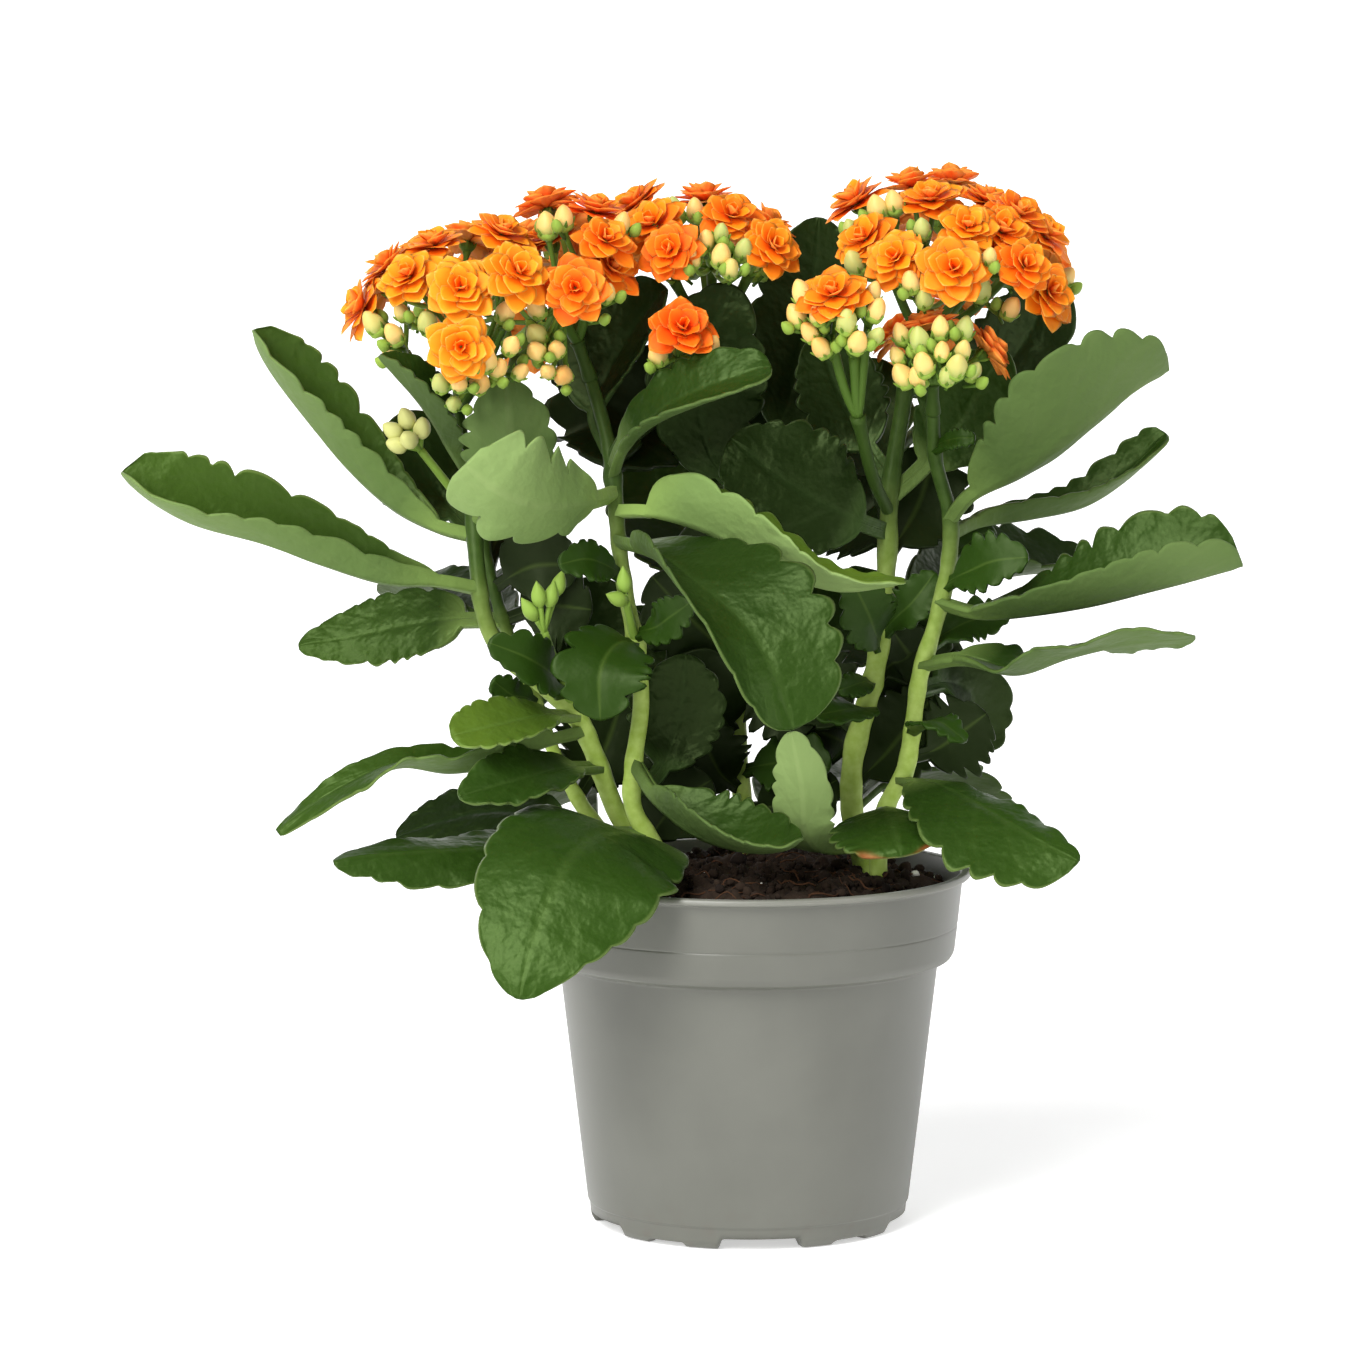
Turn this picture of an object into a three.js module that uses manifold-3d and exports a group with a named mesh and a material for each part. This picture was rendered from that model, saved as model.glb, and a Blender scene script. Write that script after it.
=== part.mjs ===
// Flaming katy with double orange flowers, growing in a round grey nursery pot.
// Millimetres, +Z up. The origin is the centre of the pot's base, on the plane that it stands on.
// X runs to the right and Y away from a viewer who stands in front of the pot.
import * as THREE from 'three';
import { mergeVertices } from 'three/addons/utils/BufferGeometryUtils.js';
import Module from 'manifold-3d';

const wasm = await Module();
wasm.setup();

// Driving sizes of the pot
const POT_SIDES = 24;
const LIP_RADIUS = 60;
const POT_HEIGHT = 96;
const COLLAR_TOP_RADIUS = 57.8;
const COLLAR_BOTTOM_RADIUS = 55.6;
const COLLAR_BOTTOM = 73.5;
const BODY_TOP_RADIUS = 51.2;
const BODY_FOOT_RADIUS = 43.2;
const FOOT_LINE = 5.8;
const FOOT_INSET = 0.5;
const WALL = 1.6;
const LIP_DEPTH = 1.6;
const FLOOR_TOP = 5;
const CHANNEL_HEIGHT = 3;
const CENTRE_PAD_RADIUS = 14;
const FOOT_RING_INNER = 38.5;
const FOOT_PERIODS = 5;
const WIDE_NOTCH = { degrees: 30, height: 3 };
const NARROW_NOTCH = { degrees: 15, height: 1.3 };
const NOTCH_TURN = 4;
const DRAIN_HOLES = 4;
const DRAIN_RADIUS = 3.2;
const DRAIN_CIRCLE = 27;

// Driving sizes of what grows in it
const GAP = 0.3;
const SOIL_EDGE = 90;
const SOIL_CROWN = 96;
const STEM_SIDES = 6;
const STALK_HALF_WIDTH = 2.1;
const STALK_HALF_THICKNESS = 1.3;
const BLADE_HALF_THICKNESS = 0.9;
const EDGE_HALF_THICKNESS = 0.5;
const LOBE_DEPTH = 0.15;
const LOBE_LEAN = 1.3;
const TIP_ROUNDNESS = 0.62;
const FLAT_CURL = 22;
const BLOOM_RADIUS = 10;
const PETALS = 4;
const BUD_RADIUS = 3.1;
const BUD_LENGTH = 9;
const BUD_STEP = 2;
const BUD_RISE = 0.8;
const SHOOT_BUD = { radius: 2.6, length: 8 };
const SHOOT_STALK = 1.3;
const FORK_STALK = 1.9;
const BRANCH = 1.5;
const PEDICEL = 0.95;
const KNOB = 4.4;
const KNOB_INSIDE = 0.45;

// The places below are read where each thing shows, on the upright plane through the pot's axis,
// from a viewing point in front of the pot. The third number is the depth behind that plane.
const EYE = { x: -17.7, distance: 1470, z: 310 };

const COLOURS = {
  pot: 0x8f9188,
  soil: 0x2a1c14,
  stem: 0x8fae52,
  leaf: 0x35602a,
  leafBack: 0x2a4d22,
  flower: 0xff8420,
};

const clean = (geometry) => {
  const bare = geometry.index ? geometry.toNonIndexed() : geometry.clone();
  for (const key of Object.keys(bare.attributes)) {
    if (key !== 'position') bare.deleteAttribute(key);
  }
  return mergeVertices(bare, 1e-4);
};

const solid = (geometry) => {
  const merged = clean(geometry);
  return new wasm.Manifold(new wasm.Mesh({
    numProp: 3,
    vertProperties: new Float32Array(merged.attributes.position.array),
    triVerts: new Uint32Array(merged.index.array),
  }));
};

const geometryOf = (body) => {
  const mesh = body.getMesh();
  const geometry = new THREE.BufferGeometry();
  geometry.setAttribute('position', new THREE.BufferAttribute(new Float32Array(mesh.vertProperties), 3));
  geometry.setIndex(new THREE.BufferAttribute(new Uint32Array(mesh.triVerts), 1));
  return geometry;
};

const joined = (bodies) => bodies.reduce((whole, body) => whole.add(body));

const largest = (body) => {
  const pieces = body.decompose();
  return pieces.reduce((best, piece) => (piece.volume() > best.volume() ? piece : best));
};

const part = new THREE.Group();

const place = (name, geometry, colour, roughness) => {
  const material = new THREE.MeshStandardMaterial({ color: colour, roughness, metalness: 0 });
  const mesh = new THREE.Mesh(geometry, material);
  mesh.name = name;
  part.add(mesh);
};

const seen = ([x, z, depth]) => {
  const scale = (EYE.distance + depth) / EYE.distance;
  return new THREE.Vector3(EYE.x + (x - EYE.x) * scale, depth, EYE.z + (z - EYE.z) * scale);
};

const curveThrough = (points) => new THREE.CatmullRomCurve3(points, false, 'catmullrom', 0.5);

const mix = (a, b, t) => a + (b - a) * t;

const ease = (low, high, value) => {
  const t = Math.min(Math.max((value - low) / (high - low), 0), 1);
  return t * t * (3 - 2 * t);
};

// Pot: one turned wall with its floor, then the notches of the foot ring and the drain holes
const lathe = (outline) => new THREE.LatheGeometry(
  outline.map(([radius, height]) => new THREE.Vector2(radius, height)),
  POT_SIDES,
).rotateX(Math.PI / 2);

const pot = () => {
  const outline = [
    [0, 0],
    [CENTRE_PAD_RADIUS, 0],
    [CENTRE_PAD_RADIUS + 2.5, CHANNEL_HEIGHT],
    [FOOT_RING_INNER - 2, CHANNEL_HEIGHT],
    [FOOT_RING_INNER, 0],
    [BODY_FOOT_RADIUS - 1.6, 0],
    [BODY_FOOT_RADIUS - FOOT_INSET, 1.8],
    [BODY_FOOT_RADIUS - FOOT_INSET + 0.3, FOOT_LINE - 0.2],
    [BODY_FOOT_RADIUS + 0.3, FOOT_LINE + 0.2],
    [BODY_TOP_RADIUS, COLLAR_BOTTOM - 2.4],
    [COLLAR_BOTTOM_RADIUS - 1, COLLAR_BOTTOM - 1.2],
    [COLLAR_BOTTOM_RADIUS, COLLAR_BOTTOM + 0.6],
    [COLLAR_TOP_RADIUS, POT_HEIGHT - LIP_DEPTH - 0.4],
    [LIP_RADIUS, POT_HEIGHT - LIP_DEPTH],
    [LIP_RADIUS - 0.5, POT_HEIGHT],
    [COLLAR_TOP_RADIUS - 0.6, POT_HEIGHT],
    [COLLAR_BOTTOM_RADIUS - WALL, COLLAR_BOTTOM + 1],
    [BODY_TOP_RADIUS - WALL, COLLAR_BOTTOM - 1.6],
    [BODY_FOOT_RADIUS - WALL, FLOOR_TOP],
    [0, FLOOR_TOP],
  ];
  let body = solid(lathe(outline));
  const period = 360 / FOOT_PERIODS;
  for (let i = 0; i < FOOT_PERIODS; i += 1) {
    body = body.subtract(footNotch(NOTCH_TURN + i * period, WIDE_NOTCH));
    body = body.subtract(footNotch(NOTCH_TURN + (i + 0.5) * period, NARROW_NOTCH));
  }
  for (let i = 0; i < DRAIN_HOLES; i += 1) {
    const turn = ((i + 0.5) * 2 * Math.PI) / DRAIN_HOLES;
    const drill = new THREE.CylinderGeometry(DRAIN_RADIUS, DRAIN_RADIUS, 4 * FLOOR_TOP, 6);
    drill.rotateX(Math.PI / 2);
    drill.translate(DRAIN_CIRCLE * Math.cos(turn), DRAIN_CIRCLE * Math.sin(turn), FLOOR_TOP);
    body = body.subtract(solid(drill));
  }
  return body;
};

// A notch is cut by a bar that lies across the foot ring, with its middle at a turn from the front
const footNotch = (degrees, { degrees: span, height }) => {
  const width = 2 * BODY_FOOT_RADIUS * Math.sin(THREE.MathUtils.degToRad(span / 2));
  const reach = BODY_FOOT_RADIUS - FOOT_RING_INNER + 6;
  const bar = new THREE.BoxGeometry(width, reach, 2 * height);
  bar.translate(0, -(BODY_FOOT_RADIUS + FOOT_RING_INNER) / 2, 0);
  bar.rotateZ(THREE.MathUtils.degToRad(degrees));
  return solid(bar);
};

// Soil: fills the pot from its floor to a low uneven mound, a gap inside the wall
const soil = () => {
  const clear = GAP + 0.05;
  const outline = [
    [0, FLOOR_TOP + GAP],
    [BODY_FOOT_RADIUS - WALL - clear, FLOOR_TOP + GAP],
    [BODY_TOP_RADIUS - WALL - clear, COLLAR_BOTTOM - 1.6 + GAP],
    [COLLAR_BOTTOM_RADIUS - WALL - clear, COLLAR_BOTTOM + 1 + GAP],
    [COLLAR_TOP_RADIUS - WALL - 1, SOIL_EDGE],
    [42, mix(SOIL_EDGE, SOIL_CROWN, 0.6)],
    [20, SOIL_CROWN],
    [0, SOIL_CROWN],
  ];
  const geometry = clean(lathe(outline));
  const at = geometry.attributes.position;
  for (let i = 0; i < at.count; i += 1) {
    const [x, y, z] = [at.getX(i), at.getY(i), at.getZ(i)];
    const inside = 1 - ease(40, 54, Math.hypot(x, y));
    const rough = Math.sin(0.31 * x + 0.4) * Math.cos(0.27 * y) + 0.6 * Math.sin(0.83 * x - 0.61 * y);
    if (z > SOIL_EDGE + 0.5) at.setZ(i, z + inside * rough);
  }
  return solid(geometry);
};

// Stems: each is a path of [x, z, depth] from deep in the soil to its top, with its radius
const STEMS = {
  stem_left: {
    radius: 2.7,
    steps: 8,
    path: [
      [-27, 70, 2], [-29, 98, 2], [-36, 112, -1], [-42, 128, -3], [-47, 138, -4], [-56, 146, -5],
      [-66, 154, -6], [-71, 164, -6], [-73, 178, -3], [-74, 192, 2], [-76, 208, 4],
    ],
  },
  stem_left_back: {
    radius: 2,
    steps: 7,
    path: [
      [-33, 72, 12], [-38, 101, 12], [-45, 113, 12], [-51, 124, 12], [-56, 137, 13], [-61, 150, 14],
      [-66, 163, 15], [-70, 178, 17], [-72, 192, 20],
    ],
  },
  stem_left_inner: {
    radius: 2.4,
    steps: 7,
    path: [
      [-18, 72, -5], [-24, 98, -5], [-31, 112, -7], [-31, 124, -7], [-29, 140, -7], [-30, 155, -6],
      [-33, 170, -5], [-35, 185, -5], [-36, 197, -4], [-38, 212, 1], [-43, 230, 6],
    ],
  },
  stem_right: {
    radius: 2.9,
    steps: 7,
    path: [
      [33, 72, 2], [31, 97, 2], [28, 110, 2], [28, 125, 2], [31, 138, 2], [34, 150, 2],
      [36, 165, 4], [37, 180, 6], [38, 200, 7], [41, 220, 8], [43, 234, 8],
    ],
  },
  stem_right_outer: {
    radius: 2.4,
    steps: 7,
    path: [
      [37, 72, -8], [35, 97, -8], [37, 112, -8], [42, 122, -8], [44, 133, -8], [46, 148, -8],
      [50, 162, -8], [53, 175, -8], [54, 190, -8], [50, 206, -12], [49, 221, -19],
    ],
  },
  stem_back: {
    radius: 2.5,
    steps: 7,
    path: [
      [2, 72, 24], [0, 100, 25], [-3, 130, 27], [-2, 160, 28], [0, 190, 28], [-4, 218, 25], [-8, 234, 22],
    ],
  },
};

const stemCurves = {};
for (const [name, stem] of Object.entries(STEMS)) {
  stemCurves[name] = curveThrough(stem.path.map(seen));
}

const section = (radius, sides) => {
  const corners = [];
  for (let i = 0; i < sides; i += 1) {
    const turn = (2 * Math.PI * i) / sides;
    corners.push(new THREE.Vector2(radius * Math.cos(turn), radius * Math.sin(turn)));
  }
  return new THREE.Shape(corners);
};

const stemTube = (name, extra) => {
  const { radius, steps } = STEMS[name];
  return solid(new THREE.ExtrudeGeometry(section(radius + extra, STEM_SIDES), {
    steps,
    bevelEnabled: false,
    extrudePath: stemCurves[name],
  }));
};

// What touches a stem is cut back to a gap round it
const inflation = GAP / Math.cos(Math.PI / STEM_SIDES) + 0.03;
const stemClearance = {};
for (const name of Object.keys(STEMS)) {
  stemClearance[name] = stemTube(name, inflation);
}

// The point on a stem's axis nearest to a given one
const onStem = (name, point) => {
  const along = stemCurves[name].getSpacedPoints(240);
  return along.reduce((best, p) => (p.distanceTo(point) < best.distanceTo(point) ? p : best));
};

// Leaf: a midrib curve with a half blade on each side. A half blade leaves the midrib at the fold
// angle and turns upwards by the curl angle on its way to the scalloped edge. Each angle is given at
// the stalk and at the tip, in degrees. The up vectors say where the top face looks at both ends.
const leafGeometry = (leaf, root) => {
  const { path, half, up, left, right, lobes, stalk = 13, wave = 0, ends = 1 } = leaf;
  const curve = curveThrough([root, ...path.map(seen)]);
  const stalkEnd = stalk / curve.getLength();
  const upStart = new THREE.Vector3(...up[0]).normalize();
  const upEnd = new THREE.Vector3(...up[1]).normalize();

  const frameAt = (t) => {
    const tangent = curve.getTangentAt(t);
    const normal = upStart.clone().lerp(upEnd, t);
    normal.addScaledVector(tangent, -normal.dot(tangent)).normalize();
    return { at: curve.getPointAt(t), normal, across: tangent.clone().cross(normal) };
  };

  const halfWidth = (u, widest) => {
    const narrow = mix(2.4, 1.2, u);
    const fade = ease(0.08, 0.3, u);
    const phase = ((lobes * u) % 1) ** LOBE_LEAN;
    const scallop = Math.abs(Math.sin(Math.PI * phase)) ** 0.7 - 0.6;
    const oval = Math.sin(Math.PI * u ** ends) ** (TIP_ROUNDNESS / Math.max(1, ends));
    return narrow + (widest - 1.8) * oval * (1 + fade * LOBE_DEPTH * scallop);
  };

  const spots = [];
  const spot = (at, normal, thick) => spots.push({ at, normal, thick }) - 1;

  const bladeSpot = (u, side, v) => {
    const frame = frameAt(mix(stalkEnd, 1, u));
    const shape = side > 0 ? right : left;
    const fold = THREE.MathUtils.degToRad(mix(shape[0], shape[1], u));
    const curl = THREE.MathUtils.degToRad(mix(shape[2], shape[3], u)) || 1e-4;
    const width = halfWidth(u, side > 0 ? half[1] : half[0]);
    const turn = fold + curl * v;
    const out = (width * (Math.sin(turn) - Math.sin(fold))) / curl;
    const ripple = wave * v * v * Math.sin(Math.PI * u) * Math.sin(5.5 * Math.PI * u + side);
    const rise = (width * (Math.cos(fold) - Math.cos(turn))) / curl + ripple;
    const across = frame.across.clone().multiplyScalar(side);
    const at = frame.at.clone().addScaledVector(across, out).addScaledVector(frame.normal, rise);
    const normal = frame.normal.clone().multiplyScalar(Math.cos(turn));
    normal.addScaledVector(across, -Math.sin(turn));
    const swell = 0.4 * (1 - ease(0, 0.25, u));
    return spot(at, normal, mix(BLADE_HALF_THICKNESS, EDGE_HALF_THICKNESS, v) + swell);
  };

  const stalkRow = (t) => {
    const frame = frameAt(t);
    const row = [-1, 0, 1].map((side) => {
      const at = frame.at.clone().addScaledVector(frame.across, side * STALK_HALF_WIDTH);
      return spot(at, frame.normal, STALK_HALF_THICKNESS * (side === 0 ? 1 : 0.7));
    });
    return { left: row[0], middle: row[1], right: row[2] };
  };

  const faces = [];
  const foot = stalkRow(0);

  const peak = 0.5 ** (1 / LOBE_LEAN);
  const midrib = [];
  for (let k = 0; k <= lobes; k += 1) {
    midrib.push(bladeSpot(k / lobes, 1, 0));
  }
  const edges = {};
  for (const side of [-1, 1]) {
    const shape = side > 0 ? right : left;
    const curled = Math.max(Math.abs(shape[2]), Math.abs(shape[3])) > FLAT_CURL;
    const inner = curled ? [] : midrib;
    const edge = [];
    for (let k = 0; k <= lobes; k += 1) {
      if (curled) inner.push(bladeSpot(k / lobes, side, 0.5));
      edge.push(bladeSpot(k / lobes, side, 1));
      if (k < lobes) edge.push(bladeSpot((k + peak) / lobes, side, 1));
    }
    edges[side] = edge;
    const stalkEdge = side > 0 ? foot.right : foot.left;
    const put = (a, b, c) => faces.push(side > 0 ? [a, b, c] : [a, c, b]);
    if (curled) put(foot.middle, inner[0], midrib[0]);
    put(foot.middle, stalkEdge, inner[0]);
    put(stalkEdge, edge[0], inner[0]);
    for (let k = 0; k < lobes; k += 1) {
      if (curled) {
        put(midrib[k], inner[k], inner[k + 1]);
        put(midrib[k], inner[k + 1], midrib[k + 1]);
      }
      put(inner[k], edge[2 * k], edge[2 * k + 1]);
      put(inner[k], edge[2 * k + 1], inner[k + 1]);
      put(inner[k + 1], edge[2 * k + 1], edge[2 * k + 2]);
    }
    edges[`inner${side}`] = inner;
  }

  // The rim runs once round the leaf, right side first, and joins the two faces
  const tip = new Set([edges.inner1.at(-1), midrib.at(-1), edges['inner-1'].at(-1)]);
  const rim = [
    foot.left, foot.middle, foot.right, ...edges[1], ...tip, ...[...edges[-1]].reverse(),
  ];
  const vertices = [];
  for (const { at, normal, thick } of spots) {
    vertices.push(...at.clone().addScaledVector(normal, thick));
    vertices.push(...at.clone().addScaledVector(normal, -thick));
  }
  const index = [];
  for (const [a, b, c] of faces) {
    index.push(2 * a, 2 * b, 2 * c, 2 * a + 1, 2 * c + 1, 2 * b + 1);
  }
  for (let i = 0; i < rim.length; i += 1) {
    const a = rim[i];
    const b = rim[(i + 1) % rim.length];
    index.push(2 * b, 2 * a, 2 * a + 1, 2 * b, 2 * a + 1, 2 * b + 1);
  }
  const geometry = new THREE.BufferGeometry();
  geometry.setAttribute('position', new THREE.BufferAttribute(new Float32Array(vertices), 3));
  geometry.setIndex(index);
  return geometry;
};

// A leaf starts on its stem's axis, and is cut back to a gap from the stem's skin
const leafOnStem = (leaf) => {
  const root = onStem(leaf.stem, seen(leaf.path[0]));
  const whole = solid(leafGeometry({ ...leaf, path: leaf.path.slice(1) }, root));
  return largest(whole.subtract(stemClearance[leaf.stem]));
};

// The leaves, named by where they show. path is [x, z, depth] from the stem to the tip, half holds
// the widest left and right half blades, and left and right hold fold at stalk and tip, then curl.
const LEAVES = [
  {
    name: 'leaf_far_left', stem: 'stem_left', lobes: 5, ends: 1.9,
    path: [[-72, 171, -5], [-84, 173, -10], [-98, 173.5, -14], [-115, 178.5, -17], [-131, 184.5, -20],
      [-148, 189.5, -22], [-160, 196, -23], [-168, 203, -22]],
    half: [11, 18], up: [[0.1, 0.3, 1], [0.5, -0.8, 0.5]],
    left: [60, 35, 50, 40], right: [60, 20, 45, 25],
  },
  {
    name: 'leaf_upper_left', stem: 'stem_left', lobes: 5, ends: 1.5,
    path: [[-73, 185, 0], [-84, 188, 6], [-96, 194, 10], [-108, 205, 12], [-120, 220, 12],
      [-129, 233, 10], [-132.5, 241, 8]],
    half: [12, 15], up: [[0.5, 0.2, 0.9], [0.7, -0.6, 0.35]],
    left: [50, 35, 50, 30], right: [50, 30, 45, 30],
  },
  {
    name: 'leaf_lower_left', stem: 'stem_left_back', lobes: 5, ends: 0.7,
    path: [[-66, 163, 15], [-78, 163, 22], [-92, 161.5, 26], [-106, 158.5, 28], [-121, 156, 28]],
    half: [10, 12], up: [[0, -0.6, 0.8], [-0.1, -0.75, 0.65]],
    left: [-5, -10, -10, -10], right: [5, 0, 10, 5],
  },
  {
    name: 'leaf_long_left', stem: 'stem_left', lobes: 5, ends: 0.75,
    path: [[-43, 133, -4], [-54, 130, -13], [-66, 125, -20], [-80, 122.5, -26], [-95, 124, -31],
      [-110, 117.5, -35], [-120, 111, -37], [-127, 105.5, -38]],
    half: [9, 7], up: [[0, -0.1, 1], [-0.4, -0.6, 0.7]],
    left: [75, -15, 30, -5], right: [30, 0, 40, 0], wave: 1,
  },
  {
    name: 'leaf_small_left', stem: 'stem_left', lobes: 4, ends: 1,
    path: [[-41, 122.5, -3], [-51, 122.5, -20], [-65, 119, -34], [-78, 115, -42]],
    half: [9, 10], up: [[0, -0.5, 0.9], [0, -0.8, 0.6]],
    left: [5, 5, 10, 10], right: [10, 10, 10, 10], wave: 1,
  },
  {
    name: 'leaf_low_left', stem: 'stem_left_inner', lobes: 5, ends: 0.9,
    path: [[-28, 105.5, -6], [-42, 105.5, -12], [-56, 103, -17], [-72, 101, -24], [-88, 100, -30],
      [-101, 99, -34], [-112, 97.5, -37]],
    half: [12, 10], up: [[0, -0.4, 0.9], [-0.1, -0.5, 0.85]],
    left: [-5, -35, -5, -10], right: [-10, -5, 0, 0], wave: 1,
  },
  {
    name: 'leaf_low_left_back', stem: 'stem_left_back', lobes: 4, ends: 0.9,
    path: [[-41, 106, 12], [-54, 109, 20], [-68, 111, 26], [-82, 108.5, 28], [-95, 104, 28]],
    half: [12, 13], up: [[0, -0.3, 1], [0, -0.4, 0.95]],
    left: [-15, -10, -10, -10], right: [10, 10, 10, 10],
  },
  {
    name: 'leaf_front_left', stem: 'stem_left_inner', lobes: 5, ends: 0.85,
    path: [[-24, 100.5, -9], [-31, 104.5, -26], [-41, 104.5, -43], [-49.5, 96, -60], [-56, 82, -70],
      [-60, 70, -76], [-62, 60, -79]],
    half: [27, 23], up: [[0, -0.35, 1], [-0.15, -1, 0.1]],
    left: [-3, 0, -14, -5], right: [0, 0, -10, -5], wave: 1,
  },
  {
    name: 'leaf_pale_front', stem: 'stem_left_inner', lobes: 5, ends: 1.7, stalk: 8,
    path: [[-36, 197.5, -4], [-44, 195, -20], [-55, 194, -34], [-66, 197.5, -44], [-76, 205, -50]],
    half: [17, 14], up: [[0.1, 1, 0.15], [0.25, 1, 0]],
    left: [0, 5, 15, 20], right: [5, 5, 20, 25], wave: 1,
  },
  {
    name: 'leaf_pale_right', stem: 'stem_left_inner', lobes: 5, ends: 0.62,
    path: [[-35.5, 191.5, -4], [-26, 191.5, -15], [-13, 188, -23], [2, 181, -28], [12, 175.5, -30],
      [25, 172, -31], [42, 173.5, -30]],
    half: [15, 15], up: [[0.1, 0.1, 1], [0, -0.05, 1]],
    left: [40, 15, 20, 10], right: [70, 5, 35, 0],
  },
  {
    name: 'leaf_back_left', stem: 'stem_left_inner', lobes: 4, ends: 1,
    path: [[-38, 209, 0], [-41, 219, 7], [-36.5, 231, 11], [-30, 242, 11], [-22, 252, 6]],
    half: [18, 9], up: [[-0.2, -1, 0.1], [-0.3, -0.9, 0.4]],
    left: [-5, 0, 5, 5], right: [20, 10, 60, 30],
  },
  {
    name: 'leaf_centre', stem: 'stem_left_inner', lobes: 4, ends: 1.5,
    path: [[-36.5, 202.5, -3], [-33.5, 210, -12], [-25, 218.5, -20], [-13, 225, -26], [0, 229.5, -29],
      [6, 231, -29]],
    half: [11, 12], up: [[-0.6, -0.8, 0.3], [-0.2, -0.75, 0.65]],
    left: [5, 0, 5, 10], right: [10, 0, 110, 50],
  },
  {
    name: 'leaf_dark_centre', stem: 'stem_right', lobes: 5, ends: 1.1,
    path: [[37, 187, 5], [29, 190, -4], [17, 196, -8], [5, 204, -8], [-5, 212, -6]],
    half: [17, 17], up: [[0, -1, 0.2], [0.1, -1, 0.15]],
    left: [0, 0, 10, 5], right: [0, 0, 5, 5], wave: 1,
  },
  {
    name: 'leaf_back_centre', stem: 'stem_back', lobes: 4, ends: 1.1,
    path: [[-2, 206, 27], [8, 216, 30], [13, 233, 33], [17, 253, 34], [18.5, 271, 32]],
    half: [16, 15], up: [[0.2, -1, 0.2], [0, -1, 0.35]],
    left: [0, 0, 15, 15], right: [0, 0, 15, 15],
  },
  {
    name: 'leaf_behind_middle', stem: 'stem_back', lobes: 4, ends: 1.1,
    path: [[-1, 196, 28], [-10, 207, 18], [-13, 223, 12], [-10, 240, 8], [-4, 253, 6]],
    half: [14, 17], up: [[-0.1, -1, 0.1], [0, -1, 0.3]],
    left: [0, 0, 10, 10], right: [0, 0, 10, 10],
  },
  {
    name: 'leaf_behind_right', stem: 'stem_right', lobes: 4, ends: 1,
    path: [[38, 201, 7], [31, 211, 16], [24, 224, 18], [18, 240, 18]],
    half: [12, 13], up: [[0, -1, 0.2], [0, -1, 0.4]],
    left: [0, 0, 10, 10], right: [0, 0, 10, 10],
  },
  {
    name: 'leaf_front_centre', stem: 'stem_left_inner', lobes: 5, ends: 1.35,
    path: [[-34.5, 184.5, -5], [-26, 181.5, -25], [-14, 173, -44], [-1, 161.5, -56], [7, 148, -62],
      [12, 133.5, -65]],
    half: [23, 16], up: [[0.1, -0.3, 1], [0.1, -1, 0.2]],
    left: [5, 0, 10, 10], right: [20, 5, 95, 30],
  },
  {
    name: 'leaf_right_upper', stem: 'stem_right_outer', lobes: 5, ends: 1.1,
    path: [[54, 190, -8], [60, 197, -15], [72, 203, -19], [84, 211, -20], [95, 220, -18],
      [104, 226.5, -14], [112, 230.5, -9]],
    half: [12, 25], up: [[-0.3, 0.9, 0.4], [-0.2, 0.7, 0.8]],
    left: [20, 10, 60, 40], right: [0, 0, 15, 25], wave: 1,
  },
  {
    name: 'leaf_right_grey', stem: 'stem_right_outer', lobes: 5, ends: 2.2,
    path: [[53, 186, -8], [62, 189.5, 4], [76, 191.5, 10], [90, 195, 14], [102, 203, 16],
      [112, 213, 16]],
    half: [8, 9], up: [[-0.1, 0.2, 1], [-0.6, -0.7, 0.5]],
    left: [40, 20, 30, 20], right: [40, 20, 40, 30],
  },
  {
    name: 'leaf_far_right', stem: 'stem_right_outer', lobes: 5, ends: 1.7,
    path: [[51, 168, -8], [62, 165, -18], [76, 165.5, -25], [92, 168, -29], [108, 172, -31],
      [122, 175.5, -32], [132.5, 178, -32]],
    half: [22, 15], up: [[0, 0.1, 1], [-0.3, -0.4, 0.9]],
    left: [15, 45, 20, 20], right: [15, 60, 20, 45],
  },
  {
    name: 'leaf_wavy_right', stem: 'stem_right_outer', lobes: 5, ends: 1,
    path: [[46.5, 151, -8], [58, 152.5, -18], [72, 149.5, -25], [86, 154, -30], [102, 157.5, -33],
      [120, 158.5, -34]],
    half: [13, 13], up: [[0, -0.3, 1], [0, 0.75, 0.7]],
    left: [25, 10, 15, 0], right: [10, -25, 10, 0], wave: 1.5,
  },
  {
    name: 'leaf_right_low_back', stem: 'stem_right_outer', lobes: 4, ends: 1,
    path: [[45, 144, -8], [53, 146, 6], [60, 143, 14], [61, 134, 19], [56, 126, 20]],
    half: [11, 13], up: [[0.1, -0.8, 0.7], [0.3, -1, -0.1]],
    left: [0, 0, 15, 15], right: [0, 0, 15, 15],
  },
  {
    name: 'leaf_front_right', stem: 'stem_right_outer', lobes: 5, ends: 1.1,
    path: [[41, 120, -8], [50, 118.5, -24], [60, 114, -36], [70, 108, -46], [80, 102, -53],
      [89, 97.5, -57]],
    half: [9, 21], up: [[0.1, -0.4, 1], [0.2, -0.9, 0.4]],
    left: [-5, -15, -15, -10], right: [5, 0, 5, 0], wave: 1,
  },
  {
    name: 'leaf_centre_low', stem: 'stem_left_inner', lobes: 5, ends: 1.15,
    path: [[-31, 124, -7], [-25, 115, -18], [-15, 106, -28], [-2, 101.5, -36], [9, 101.5, -42],
      [14.5, 104, -45]],
    half: [15, 12], up: [[0.35, -0.2, 0.9], [0, -0.5, 0.9]],
    left: [35, 10, 25, 20], right: [55, 20, 40, 20],
  },
  {
    name: 'leaf_upright_pale', stem: 'stem_right', lobes: 4, ends: 1.1,
    path: [[30, 102, 2], [20, 101.5, -14], [15.5, 106, -22], [14.5, 118, -24], [11.5, 133, -24]],
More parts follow.
